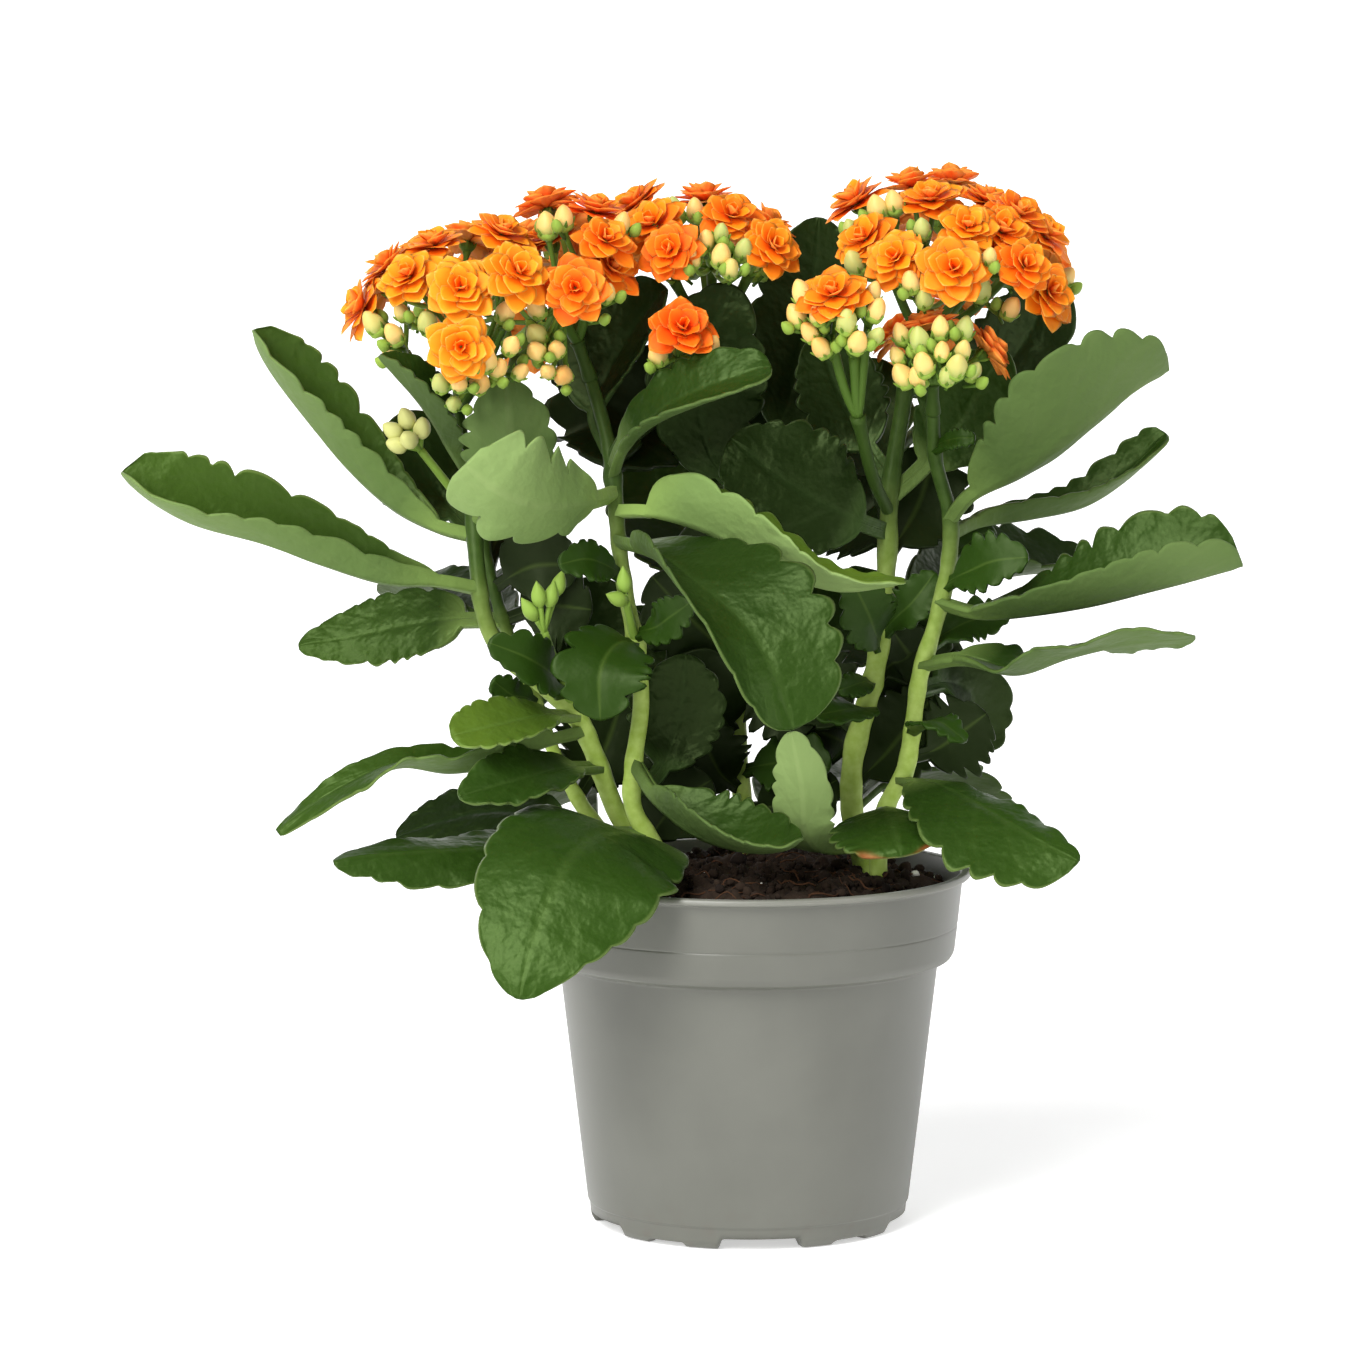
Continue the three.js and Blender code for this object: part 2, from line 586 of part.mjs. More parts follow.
    half: [8, 9], up: [[0.2, 0.5, 0.8], [0.2, 1, 0]],
    left: [10, 5, 10, 10], right: [0, 0, 20, 20],
  },
  {
    name: 'leaf_on_soil', stem: 'stem_right_outer', lobes: 5, ends: 1.2,
    path: [[37, 112, -8], [37.5, 111.5, -21], [38.5, 108, -34], [40, 102.5, -43], [41, 99, -46]],
    half: [18, 17], up: [[0, -0.3, 1], [0, -0.75, 0.7]],
    left: [-5, -5, -10, 0], right: [-5, -5, -10, 0],
  },
  {
    name: 'leaf_back_far_right', stem: 'stem_right', lobes: 4, ends: 1,
    path: [[42, 225, 8], [56, 225, 24], [68, 231, 35], [76, 243, 43], [82.5, 260, 47]],
    half: [14, 13], up: [[0.1, -0.9, 0.5], [0.3, -1, 0.2]],
    left: [5, 5, 15, 15], right: [0, 0, 15, 10],
  },
  {
    name: 'leaf_right_inner', stem: 'stem_right', lobes: 4, ends: 1,
    path: [[38, 196, 7], [47, 205, 8], [57, 218, 8], [68, 236, 7]],
    half: [13, 12], up: [[0.1, -1, 0.4], [0.1, -1, 0.3]],
    left: [0, 0, 10, 10], right: [0, 0, 10, 10],
  },
  {
    name: 'leaf_left_inner', stem: 'stem_left_back', lobes: 4, ends: 1,
    path: [[-71, 184, 18], [-79, 192, 26], [-87, 204, 30], [-93, 219, 30]],
    half: [15, 15], up: [[0.2, -1, 0.3], [0.2, -1, 0.3]],
    left: [0, 0, 10, 10], right: [0, 0, 10, 10],
  },
  {
    name: 'leaf_left_upright', stem: 'stem_left', lobes: 5, ends: 1.1,
    path: [[-73, 190, 2], [-65, 192, -10], [-63.5, 203, -15], [-64, 215, -17], [-65, 228, -15]],
    half: [13, 14], up: [[0, 1, 0.2], [0, 1, -0.1]],
    left: [15, 20, 10, 10], right: [10, 10, 15, 10],
  },
  {
    name: 'leaf_thin_left', stem: 'stem_left', lobes: 4, ends: 1,
    path: [[-75.5, 203, 3], [-81, 212, -10], [-87, 221, -18], [-93, 228, -22], [-99, 234, -23]],
    half: [7, 12], up: [[0.6, -0.5, 0.6], [0.7, -0.5, 0.5]],
    left: [60, 60, 30, 20], right: [10, 10, 15, 15],
  },
  {
    name: 'leaf_rear_low', stem: 'stem_back', lobes: 4, ends: 1,
    path: [[0, 108, 25], [9, 114, 40], [19, 119, 54], [31, 121, 66], [43, 118, 76]],
    half: [19, 19], up: [[0, -0.3, 1], [0, -0.3, 0.9]],
    left: [10, 5, 5, 5], right: [10, 5, 5, 5], wave: 1,
  },
  {
    name: 'leaf_rear_left', stem: 'stem_back', lobes: 4, ends: 1,
    path: [[-3, 128, 27], [-13, 136, 40], [-25, 146, 50], [-37, 156, 57], [-46, 167, 62]],
    half: [20, 20], up: [[0.3, -0.7, 0.7], [0.2, -0.9, 0.4]],
    left: [15, 5, 15, 10], right: [15, 5, 15, 10], wave: 1,
  },
  {
    name: 'leaf_rear_right', stem: 'stem_back', lobes: 4, ends: 1,
    path: [[-3, 138, 27], [8, 146, 40], [18, 156, 50], [30, 165, 57], [40, 174, 62]],
    half: [20, 20], up: [[-0.3, -0.7, 0.7], [-0.2, -0.9, 0.4]],
    left: [15, 5, 15, 10], right: [15, 5, 15, 10], wave: 1,
  },
  {
    name: 'leaf_rear_middle', stem: 'stem_back', lobes: 4, ends: 1,
    path: [[-1, 166, 28], [-9, 174, 44], [-17, 186, 56], [-24, 199, 64], [-29, 212, 68]],
    half: [20, 20], up: [[0.1, -0.7, 0.7], [0.1, -0.9, 0.4]],
    left: [15, 5, 15, 10], right: [15, 5, 15, 10], wave: 1,
  },
  {
    name: 'leaf_rear_upper', stem: 'stem_back', lobes: 4, ends: 1,
    path: [[0, 184, 28], [11, 194, 42], [21, 206, 54], [30, 219, 62], [36, 233, 66]],
    half: [20, 20], up: [[0, -0.7, 0.7], [0, -0.9, 0.4]],
    left: [15, 5, 15, 10], right: [15, 5, 15, 10], wave: 1,
  },
  {
    name: 'leaf_rear_far_left', stem: 'stem_left_back', lobes: 4, ends: 1,
    path: [[-62, 153, 14], [-68, 160, 30], [-76, 166, 46], [-87, 170, 60], [-98, 170, 72]],
    half: [16, 16], up: [[0, -0.1, 1], [-0.2, 0.2, 1]],
    left: [30, 15, 30, 15], right: [30, 15, 30, 15], wave: 1,
  },
  {
    name: 'leaf_rear_far_right', stem: 'stem_right', lobes: 4, ends: 1,
    path: [[36, 168, 4], [50, 172, 22], [64, 175, 38], [80, 177, 50], [97, 175, 58]],
    half: [17, 17], up: [[0, -0.4, 1], [0.2, -0.3, 1]],
    left: [30, 15, 30, 15], right: [30, 15, 30, 15], wave: 1,
  },
  {
    name: 'leaf_rear_low_left', stem: 'stem_left_back', lobes: 4, ends: 1,
    path: [[-43, 110, 12], [-44, 118, 28], [-50, 119, 42], [-58, 112, 56], [-64, 100, 66]],
    half: [14, 14], up: [[0, 0.2, 1], [-0.4, 0.6, 0.6]],
    left: [10, 5, 5, 5], right: [10, 5, 5, 5], wave: 1,
  },
  {
    name: 'leaf_rear_low_right', stem: 'stem_right', lobes: 4, ends: 1,
    path: [[28, 112, 2], [38, 120, 18], [49, 120, 34], [60, 112, 48], [70, 99, 58]],
    half: [16, 16], up: [[0, 0.2, 1], [0.4, 0.6, 0.6]],
    left: [10, 5, 5, 5], right: [10, 5, 5, 5], wave: 1,
  },
  {
    name: 'leaf_pale_left', stem: 'stem_left', lobes: 4, ends: 1.5, stalk: 9,
    path: [[-46, 137, -4], [-56, 137, -20], [-68, 134.5, -30], [-80, 131.5, -36]],
    half: [8, 9], up: [[0, -0.6, 0.9], [0, -0.8, 0.6]],
    left: [5, 5, 10, 10], right: [5, 5, 10, 10],
  },
  {
    name: 'leaf_behind_left', stem: 'stem_left_back', lobes: 4, ends: 1,
    path: [[-58, 141, 14], [-50, 149, 24], [-43, 160, 30], [-37, 174, 33]],
    half: [16, 16], up: [[0, -1, 0.3], [0, -1, 0.3]],
    left: [0, 0, 10, 10], right: [0, 0, 10, 10],
  },
  {
    name: 'leaf_behind_low', stem: 'stem_left_inner', lobes: 4, ends: 1,
    path: [[-31, 117, -7], [-25, 121, -1], [-21, 129, 3], [-18, 141, 3], [-17, 154, 2]],
    half: [14, 12], up: [[0, -1, 0.3], [0, -1, 0.3]],
    left: [0, 0, 10, 10], right: [0, 0, 10, 10],
  },
];

// Small leaves that are one piece with their stem, given as the large ones are
const SMALL_LEAVES = [
  {
    stem: 'stem_left', path: [[-51, 142, -4], [-53, 148, -16], [-60, 153, -24], [-70, 157, -27]],
    half: [7, 8], up: [[0, -0.7, 0.7], [0, -1, 0.3]],
  },
  {
    stem: 'stem_left_inner', path: [[-30, 157, -6], [-36, 156, -18], [-40, 149, -27], [-40, 136, -30]],
    half: [13, 12], up: [[0, -0.7, 0.7], [0, -1, 0.2]],
  },
  {
    stem: 'stem_left_inner', path: [[-30, 159, -6], [-25, 161, -14], [-21, 164, -19], [-15.5, 168, -22]],
    half: [6, 6], up: [[0, -0.8, 0.6], [0, -1, 0.2]],
  },
  {
    stem: 'stem_left_back', path: [[-57, 140, 13], [-60, 142, 7], [-64, 143, 3], [-69, 147, 0]],
    half: [5, 5], up: [[0, -0.9, 0.4], [0, -1, 0.3]],
  },
  {
    stem: 'stem_left_inner', path: [[-34, 174, -5], [-39, 178, -12], [-44, 179.5, -17], [-51, 178, -20]],
    half: [6, 5.5], up: [[0, -0.8, 0.6], [0, -1, 0.3]],
  },
  {
    stem: 'stem_right', path: [[31, 138, 2], [30, 139, -10], [25, 138.5, -19], [18, 137, -24]],
    half: [6, 6], up: [[0, -0.6, 0.8], [0, -0.7, 0.7]],
  },
  {
    stem: 'stem_right_outer', path: [[44, 133, -8], [47, 135, -18], [52, 135, -26], [58, 130, -31]],
    half: [6, 6], up: [[0, -0.1, 1], [0, -0.2, 1]],
  },
  {
    stem: 'stem_right_outer', path: [[53, 172, -8], [59, 176, -16], [66, 179, -21], [75, 180, -24]],
    half: [8, 7], up: [[0, -0.8, 0.6], [0, -1, 0.3]],
  },
  {
    stem: 'stem_right_outer', path: [[54, 180, -8], [58, 183, 0], [62, 186, 5], [66, 187, 9]],
    half: [5, 5], up: [[0, -0.8, 0.6], [0, -1, 0.3]],
  },
  {
    stem: 'stem_right_outer', path: [[50, 209, -13], [53, 211, -18], [56, 212, -21], [60.5, 212, -23]],
    half: [3, 3], up: [[0, -0.8, 0.6], [0, -1, 0.3]],
  },
  {
    stem: 'stem_right', path: [[33, 146, 2], [30, 146, -7], [27, 145, -12], [24, 144, -16]],
    half: [4, 4], up: [[0, -0.8, 0.6], [0, -1, 0.3]],
  },
  {
    stem: 'stem_back', path: [[-2, 150, 28], [-10, 158, 21], [-17, 165, 15], [-26, 175, 11]],
    half: [10, 10], up: [[0, -1, 0.1], [0, -1, 0]],
  },
  {
    stem: 'stem_back', path: [[-3, 122, 27], [6, 124, 20], [14, 125, 14], [22, 123, 10]],
    half: [9, 9], up: [[0, -0.8, 0.6], [0, -1, 0.3]],
  },
  {
    stem: 'stem_left_back', path: [[-68, 172, 16], [-62, 176, 12], [-56, 178, 10], [-46, 178, 9]],
    half: [10, 9], up: [[0, -1, 0.1], [0, -1, 0]],
  },
  {
    stem: 'stem_left_back', path: [[-66, 163, 15], [-58, 166, 14], [-52, 167, 13], [-42, 166, 12]],
    half: [9, 9], up: [[0, -1, 0.1], [0, -1, 0]],
  },
  {
    stem: 'stem_left_back', path: [[-46, 115, 12], [-42, 122, 18], [-38, 130, 22], [-34, 142, 24]],
    half: [12, 11], up: [[0, -1, 0.1], [0, -1, 0]],
  },
  {
    stem: 'stem_left', path: [[-29, 100, 2], [-24, 108, 6], [-19, 114, 9], [-10, 120, 10]],
    half: [9, 8], up: [[0, -1, 0.1], [0, -1, 0]],
  },
  {
    stem: 'stem_back', path: [[-3, 132, 27], [-8, 138, 20], [-12, 144, 17], [-18, 154, 15]],
    half: [11, 11], up: [[0, -1, 0.1], [0, -1, 0]],
  },
  {
    stem: 'stem_back', path: [[-1, 170, 28], [-6, 176, 22], [-11, 180, 18], [-20, 184, 15]],
    half: [11, 10], up: [[0, -1, 0.1], [0, -1, 0]],
  },
  {
    stem: 'stem_right', path: [[29, 132, 2], [22, 140, 8], [17, 148, 12], [12, 158, 14]],
    half: [9, 9], up: [[0, -1, 0.1], [0, -1, 0]],
  },
  {
    stem: 'stem_right', path: [[35, 158, 3], [40, 164, -1], [44, 168, -3], [50, 176, -2]],
    half: [6, 6], up: [[0, -0.8, 0.6], [0, -1, 0.3]],
  },
  {
    stem: 'stem_right', path: [[35, 155, 2], [33, 162, -9], [31, 167, -13], [27, 175, -15]],
    half: [8, 8], up: [[0, -0.8, 0.6], [0, -1, 0.3]],
  },
  {
    stem: 'stem_right', path: [[37, 180, 6], [42, 188, 12], [46, 196, 16], [50, 210, 18]],
    half: [11, 11], up: [[0, -1, 0.1], [0, -1, 0]],
  },
  {
    stem: 'stem_right_outer', path: [[43, 126, -8], [50, 128, -5], [56, 132, -4], [64, 138, -4]],
    half: [9, 9], up: [[0, -1, 0.1], [0, -1, 0]],
  },
  {
    stem: 'stem_right_outer', path: [[48, 156, -8], [54, 160, -3], [60, 163, 0], [70, 165, 2]],
    half: [6, 6], up: [[0, -0.8, 0.6], [0, -1, 0.3]],
  },
  {
    stem: 'stem_back', path: [[-1, 112, 26], [8, 113, 19], [14, 115, 16], [24, 120, 14]],
    half: [8, 8], up: [[0, -1, 0.1], [0, -1, 0]],
  },
  {
    stem: 'stem_right', path: [[28, 118, 2], [36, 126, 6], [41, 132, 8], [50, 143, 9]],
    half: [10, 9], up: [[0, -1, 0.1], [0, -1, 0]],
  },
  {
    stem: 'stem_right', path: [[36, 164, 4], [44, 153, 12], [48, 152, 14], [58, 154, 16]],
    half: [9, 10], up: [[0, -1, 0.1], [0, -1, 0]],
  },
  {
    stem: 'stem_back', path: [[-2, 150, 28], [5, 145, 20], [10, 141, 17], [19, 136, 15]],
    half: [9, 9], up: [[0, -1, 0.1], [0, -1, 0]],
  },
  {
    stem: 'stem_right', path: [[33, 146, 2], [38, 151, 9], [43, 154, 11], [50, 165, 12]],
    half: [8, 8], up: [[0, -1, 0.1], [0, -1, 0]],
  },
  {
    stem: 'stem_left_inner', path: [[-35, 203.5, -5], [-38, 214, 20], [-41, 222, 25], [-43, 240, 27]],
    half: [10, 10], up: [[0, -1, 0.1], [0, -1, 0]],
  },
  {
    stem: 'stem_left_inner', path: [[-35, 203.5, -5], [-31, 212, 19], [-27, 220, 23], [-22, 238, 24]],
    half: [11, 11], up: [[0, -1, 0.1], [0, -1, 0]],
  },
  {
    stem: 'stem_back', path: [[0, 194, 28], [5, 203, 37], [9, 211, 41], [11, 226, 42]],
    half: [13, 12], up: [[0, -1, 0.1], [0, -1, 0]],
  },
  {
    stem: 'stem_right', path: [[29, 129, 2], [22, 132, 23], [16, 134, 28], [6, 137, 30]],
    half: [8, 8], up: [[0, -1, 0.1], [0, -1, 0]],
  },
  {
    stem: 'stem_back', path: [[-3, 117, 27], [-7, 121, 20], [-10, 126, 18], [-14, 135, 17]],
    half: [7, 8], up: [[0, -1, 0.1], [0, -1, 0]],
  },
  {
    stem: 'stem_left_back', path: [[-67, 178, 16], [-68, 184, 26], [-66, 190, 30], [-63, 203, 31]],
    half: [10, 10], up: [[0, -1, 0.1], [0, -1, 0]],
  },
  {
    stem: 'stem_right', path: [[36, 183, 5], [31, 188, 22], [28, 192, 27], [22, 204, 29]],
    half: [9, 9], up: [[0, -1, 0.1], [0, -1, 0]],
  },
];

// Young shoots: a short stalk from [x, z, depth] to a second point, with its tight buds
const SHOOTS = [
  {
    stem: 'stem_left', from: [-47, 139, -4], to: [-55, 160, -15],
    buds: [[-59, 166, -16], [-56.5, 170, -17], [-53, 170, -15], [-51, 173, -13]],
  },
  {
    stem: 'stem_left_inner', from: [-30, 156, -6], to: [-33, 168, -13],
    buds: [[-33.5, 174, -14], [-35.5, 169, -15]],
  },
  {
    stem: 'stem_left_back', from: [-71, 188, 19], to: [-88, 209, 10],
    buds: [[-92, 218, 8], [-96, 214.5, 7], [-87.5, 215.5, 7], [-91.5, 212, 3], [-95, 210.5, 6]],
  },
];

// Flower heads: the stalk leaves the top of its stem, or its side where root is given, and runs
// through the points of stalk to the fork. Every bloom and bud looks away from the centre.
const HEADS = [
  {
    name: 'head_left', stem: 'stem_left',
    centre: [-78, 236, 0], stalk: [[-78, 220, 0]],
    forks: [[-92, 235, 0], [-77, 238, -10], [-66, 242, -4], [-78, 246, 8], [-71, 234, -16]],
    blooms: [
      [-103, 247, -6], [-90.5, 255, -18], [-84, 263.5, -6], [-77, 252, -33], [-77, 236.5, -38],
      [-66, 266.5, -12], [-62, 256, -31], [-75, 265, 10], [-97, 252, 12], [-88, 258, 26],
      [-68, 262, 27], [-80, 246, 36], [-62, 261, 12], [-96, 258, -2],
    ],
    buds: [
      [-100.5, 243, -14], [-95, 240, -18], [-96, 236, -12], [-93, 246, -16], [-86, 243, -20],
      [-82.5, 227, -30], [-77.5, 227, -34], [-79, 221.5, -26], [-72, 227, -30], [-67, 231, -30],
      [-63.5, 237, -32], [-61, 230, -26], [-70, 233, -34], [-65, 246, -26], [-100, 244, 10],
      [-90, 244, 32], [-70, 250, 34],
    ],
  },
  {
    name: 'head_left_inner', stem: 'stem_left_inner',
    centre: [-47, 246, 0], stalk: [[-46, 238, 3]],
    forks: [[-50, 248, -8], [-42, 254, -2], [-52, 256, 4], [-47, 253, 24]],
    blooms: [
      [-53, 265, -2], [-46.5, 252, -29], [-37, 257, -14], [-54, 274, 6], [-41, 272.5, -2],
      [-38.5, 264.5, -18], [-50, 268, 22], [-36, 263, 20], [-46, 258, 32],
    ],
    buds: [
      [-54, 269, -14], [-49.5, 271, -16], [-38, 251, -22], [-42, 246, -24], [-57, 240, -20],
      [-57, 235.5, -24], [-51.5, 236, -22], [-54, 230, -22], [-50, 229, -18], [-57, 247, -18],
      [-34, 269.5, -10], [-58, 258, 20],
    ],
  },
  {
    name: 'head_middle', stem: 'stem_back',
    centre: [-11, 248, 20], stalk: [[-10, 242, 20]],
    forks: [[-20, 254, 14], [-10, 258, 12], [0, 256, 14], [-12, 258, 26]],
    blooms: [
      [-30, 274, 14], [-25.5, 269, -2], [-21, 262, -12], [-12, 275.5, 20], [-5, 271, 0], [6, 263, -4],
      [4, 269, 20], [-24, 264, 36], [-8, 267, 40],
    ],
    buds: [
      [-20, 273, 6], [-14.5, 273, 4], [-11.5, 265, -8], [-7.5, 267, -8], [-7.5, 261, -12],
      [-1.5, 262.5, -8], [-5, 257.5, -14], [-15, 260, -12], [4, 258, 28], [-16, 258, 40],
    ],
  },
  {
    name: 'head_right', stem: 'stem_right',
    centre: [52, 240, 10], stalk: [[46, 240, 8]],
    forks: [[38, 256, 0], [46, 260, 6], [58, 256, -4], [68, 255, 2], [46, 254, 20], [62, 258, 22]],
    blooms: [
      [28.5, 275, 4], [31, 265, -14], [39, 260, -26], [43, 279, 14], [48.5, 275.5, -6], [58, 268, -22],
      [54.5, 257, -31], [63, 275, 6], [73, 258, -22], [78.5, 266, -2], [71, 271.5, -8], [54, 280, 24],
      [79.5, 251, -14], [36, 268, 28], [50, 270, 40], [66, 266, 36], [80, 258, 22], [58, 254, 46],
      [67, 267, -16], [72, 270, 20],
    ],
    buds: [
      [34, 273.5, -8], [38.5, 275, -8], [46, 268, -22], [64, 260.5, -28], [28, 259, -18],
      [43, 254, -30], [46.5, 249.5, -28], [27, 268, -8], [62, 252, -20], [70, 247, -16],
      [84.5, 255, 6], [42, 258, 38], [72, 256, 38],
    ],
  },
  {
    name: 'head_small', stem: 'stem_right', root: [38, 192, 6],
    centre: [25, 238, -24], stalk: [[33, 202, -10], [29, 218, -22]],
    forks: [[28, 234, -26], [22, 238, -26], [31, 238, -26]],
    blooms: [[22.5, 250, -34]],
    buds: [
      [14, 251, -30], [12.5, 245, -30], [16, 240.5, -32], [18, 245, -35], [26, 243.5, -39],
      [34, 246.5, -35], [33, 251, -29], [34, 239.5, -35], [29, 238, -38], [19, 236.5, -33],
    ],
  },
  {
    name: 'head_buds', stem: 'stem_right_outer',
    centre: [51, 226, -22], stalk: [[49, 227, -24]],
    forks: [[46, 231, -26], [52, 233, -26], [56, 231, -25]],
    blooms: [[47, 241, -18], [63.5, 235.5, -20]],
    buds: [
      [45.5, 238.5, -34], [57.5, 241.5, -30], [57, 235.5, -34], [51.5, 235.5, -38], [46.5, 232, -37],
      [51, 241.5, -32], [40.5, 240, -27], [39.5, 234, -29], [41, 229, -30], [45, 228.5, -34],
      [53, 229, -36], [60, 230, -30], [55.5, 231.5, -38],
    ],
  },
  {
    name: 'head_single', stem: 'stem_left_inner', root: [-37, 206, -1],
    centre: [-20, 232, -6], stalk: [[-29, 220, -9], [-22, 228, -10]],
    forks: [[-19, 234, -11]],
    blooms: [[-18, 241, -19]],
    buds: [[-10.5, 236.5, -16], [-24.5, 234.5, -17]],
  },
  {
    name: 'head_rear_left', stem: 'stem_left_back',
    centre: [-58, 239, 52], stalk: [[-69, 209, 30], [-62, 233, 44]],
    forks: [[-66, 245, 50], [-52, 245, 50], [-58, 243, 62]],
    blooms: [
      [-60, 265, 56], [-76, 256, 58], [-44, 257, 58], [-66, 253, 74], [-48, 251, 76], [-80, 243, 66],
      [-58, 239, 82],
    ],
    buds: [
      [-70, 263, 62], [-52, 262, 66], [-74, 249, 76], [-42, 247, 70], [-67, 241, 82], [-48, 240, 80],
    ],
  },
  {
    name: 'head_rear_right', stem: 'stem_right', root: [40, 208, 8],
    centre: [54, 222, 54], stalk: [[47, 216, 26], [52, 220, 42]],
    forks: [[46, 228, 52], [62, 228, 52], [54, 226, 64]],
    blooms: [[56, 248, 58], [40, 240, 60], [71, 240, 60], [48, 236, 77], [64, 234, 77], [55, 222, 84]],
    buds: [[48, 247, 66], [77, 227, 68], [38, 230, 70], [72, 230, 80]],
  },
];

const UPRIGHT = new THREE.Vector3(0, 1, 0);

const rod = (from, to, fromRadius, toRadius, sides, lap = 0.6) => {
  const axis = to.clone().sub(from);
  const geometry = new THREE.CylinderGeometry(toRadius, fromRadius, axis.length() + 2 * lap, sides);
  geometry.applyQuaternion(new THREE.Quaternion().setFromUnitVectors(UPRIGHT, axis.normalize()));
  geometry.translate(...from.clone().lerp(to, 0.5));
  return solid(geometry);
};

// A ring of corners round an axis; each corner is [radius, height, turn] and turn 0 is on the side
// that the direction called start points to
const ringSpots = (at, axis, corners, start) => {
  const u = start.clone().addScaledVector(axis, -start.dot(axis)).normalize();
  const v = axis.clone().cross(u);
  return corners.map(([radius, height, turn]) => at.clone()
    .addScaledVector(u, radius * Math.cos(turn))
    .addScaledVector(v, radius * Math.sin(turn))
    .addScaledVector(axis, height));
};

const sideOf = (axis) => {
  const helper = Math.abs(axis.z) > 0.9 ? new THREE.Vector3(1, 0, 0) : new THREE.Vector3(0, 0, 1);
  return helper.cross(axis).normalize();
};

const evenRing = (sides, radius, height) => Array.from(
  { length: sides },
  (_, k) => [radius, height, (2 * Math.PI * k) / sides],
);

const meshed = (spots, faces) => {
  const geometry = new THREE.BufferGeometry();
  geometry.setAttribute('position', new THREE.Float32BufferAttribute(spots.flatMap((p) => [...p]), 3));
  geometry.setIndex(faces.flat());
  return solid(geometry);
};

// Three-sided stalk from one place up to the underside of a bloom or bud, as spots 0 to 5
const stalkSpots = (from, under, axis, start) => {
  const bend = under.clone().sub(from).normalize().add(axis).normalize();
  const ring = evenRing(3, PEDICEL, 0);
  return [...ringSpots(from, bend, ring, start), ...ringSpots(under, bend, ring, start)];
};

const STALK_FACES = [
  [0, 2, 1],
  [0, 1, 4], [0, 4, 3],
  [1, 2, 5], [1, 5, 4],
  [2, 0, 3], [2, 3, 5],
];

// Faces between the top of the stalk and a ring of spots that begins at the given number
const spread = (first, count) => {
  const faces = [];
  const cornerAt = (k) => Math.round((3 * k) / count) % 3;
  for (let k = 0; k < count; k += 1) {
    const [here, next] = [first + k, first + ((k + 1) % count)];
    const [low, lowNext] = [3 + cornerAt(k), 3 + cornerAt(k + 1)];
    faces.push([low, next, here]);
    if (low !== lowNext) faces.push([low, lowNext, next]);
  }
  return faces;
};

// Double bloom on its stalk: a ring of outer petals, a ring of inner petals turned half a petal and
// standing over them, and a hollowed middle
const bloom = (from, at, axis, radius, spin) => {
  const start = sideOf(axis);
  const step = Math.PI / PETALS;
  const corners = [];
  for (let k = 0; k < 2 * PETALS; k += 1) {
    const [reach, height] = k % 2 === 0 ? [1, 0.02] : [0.7, -0.06];
    corners.push([reach * radius, height * radius, k * step]);
  }
  for (let k = 0; k < PETALS; k += 1) {
    corners.push([0.4 * radius, 0.09 * radius, 2 * k * step]);
  }
  for (let k = 0; k < 2 * PETALS; k += 1) {
    const [reach, height] = k % 2 === 0 ? [0.46, 0.3] : [0.7, 0.38];
    corners.push([reach * radius, height * radius, k * step]);
  }
  corners.push([0, 0.24 * radius, 0]);
  const first = 6;
  const outer = (k) => first + (k % (2 * PETALS));
  const waist = (k) => first + 2 * PETALS + (k % PETALS);
  const inner = (k) => first + 3 * PETALS + (k % (2 * PETALS));
  const crown = first + corners.length - 1;
  const faces = [...STALK_FACES, ...spread(first, 2 * PETALS)];
  for (let k = 0; k < 2 * PETALS; k += 1) {
    faces.push([inner(k), inner(k + 1), crown]);
  }
  for (let k = 0; k < PETALS; k += 1) {
    const [tip, valley, next] = [outer(2 * k), outer(2 * k + 1), outer(2 * k + 2)];
    faces.push([tip, valley, waist(k)], [valley, next, waist(k + 1)], [valley, waist(k + 1), waist(k)]);
    const [low, high, end] = [inner(2 * k), inner(2 * k + 1), inner(2 * k + 2)];
    faces.push([waist(k), waist(k + 1), high], [waist(k), high, low], [waist(k + 1), end, high]);
  }
  const turned = start.clone().applyAxisAngle(axis, spin);
  const under = at.clone().addScaledVector(axis, -0.42 * radius);
  const spots = [...stalkSpots(from, under, axis, turned), ...ringSpots(at, axis, corners, turned)];
  return meshed(spots, faces);
};

const bud = (from, base, axis, radius, length) => {
  const start = sideOf(axis);
  const sides = 4;
  const first = 6;
  const tip = first + sides;
  const corners = [...evenRing(sides, radius, 0.45 * length), [0, length, 0]];
  const faces = [...STALK_FACES, ...spread(first, sides)];
  for (let k = 0; k < sides; k += 1) {
    faces.push([first + k, first + ((k + 1) % sides), tip]);
  }
  return meshed([...stalkSpots(from, base, axis, start), ...ringSpots(base, axis, corners, start)], faces);
};

// A knob where stalks part, and the place inside its skin on the way to another point
const knob = (at) => solid(new THREE.OctahedronGeometry(KNOB).translate(at.x, at.y, at.z));

const fromKnob = (at, towards) => {
  const way = towards.clone().sub(at).normalize();
  return at.clone().addScaledVector(way, KNOB_INSIDE * KNOB);
};

const nearest = (point, places) => places.reduce(
  (best, p) => (p.distanceTo(point) < best.distanceTo(point) ? p : best),
);

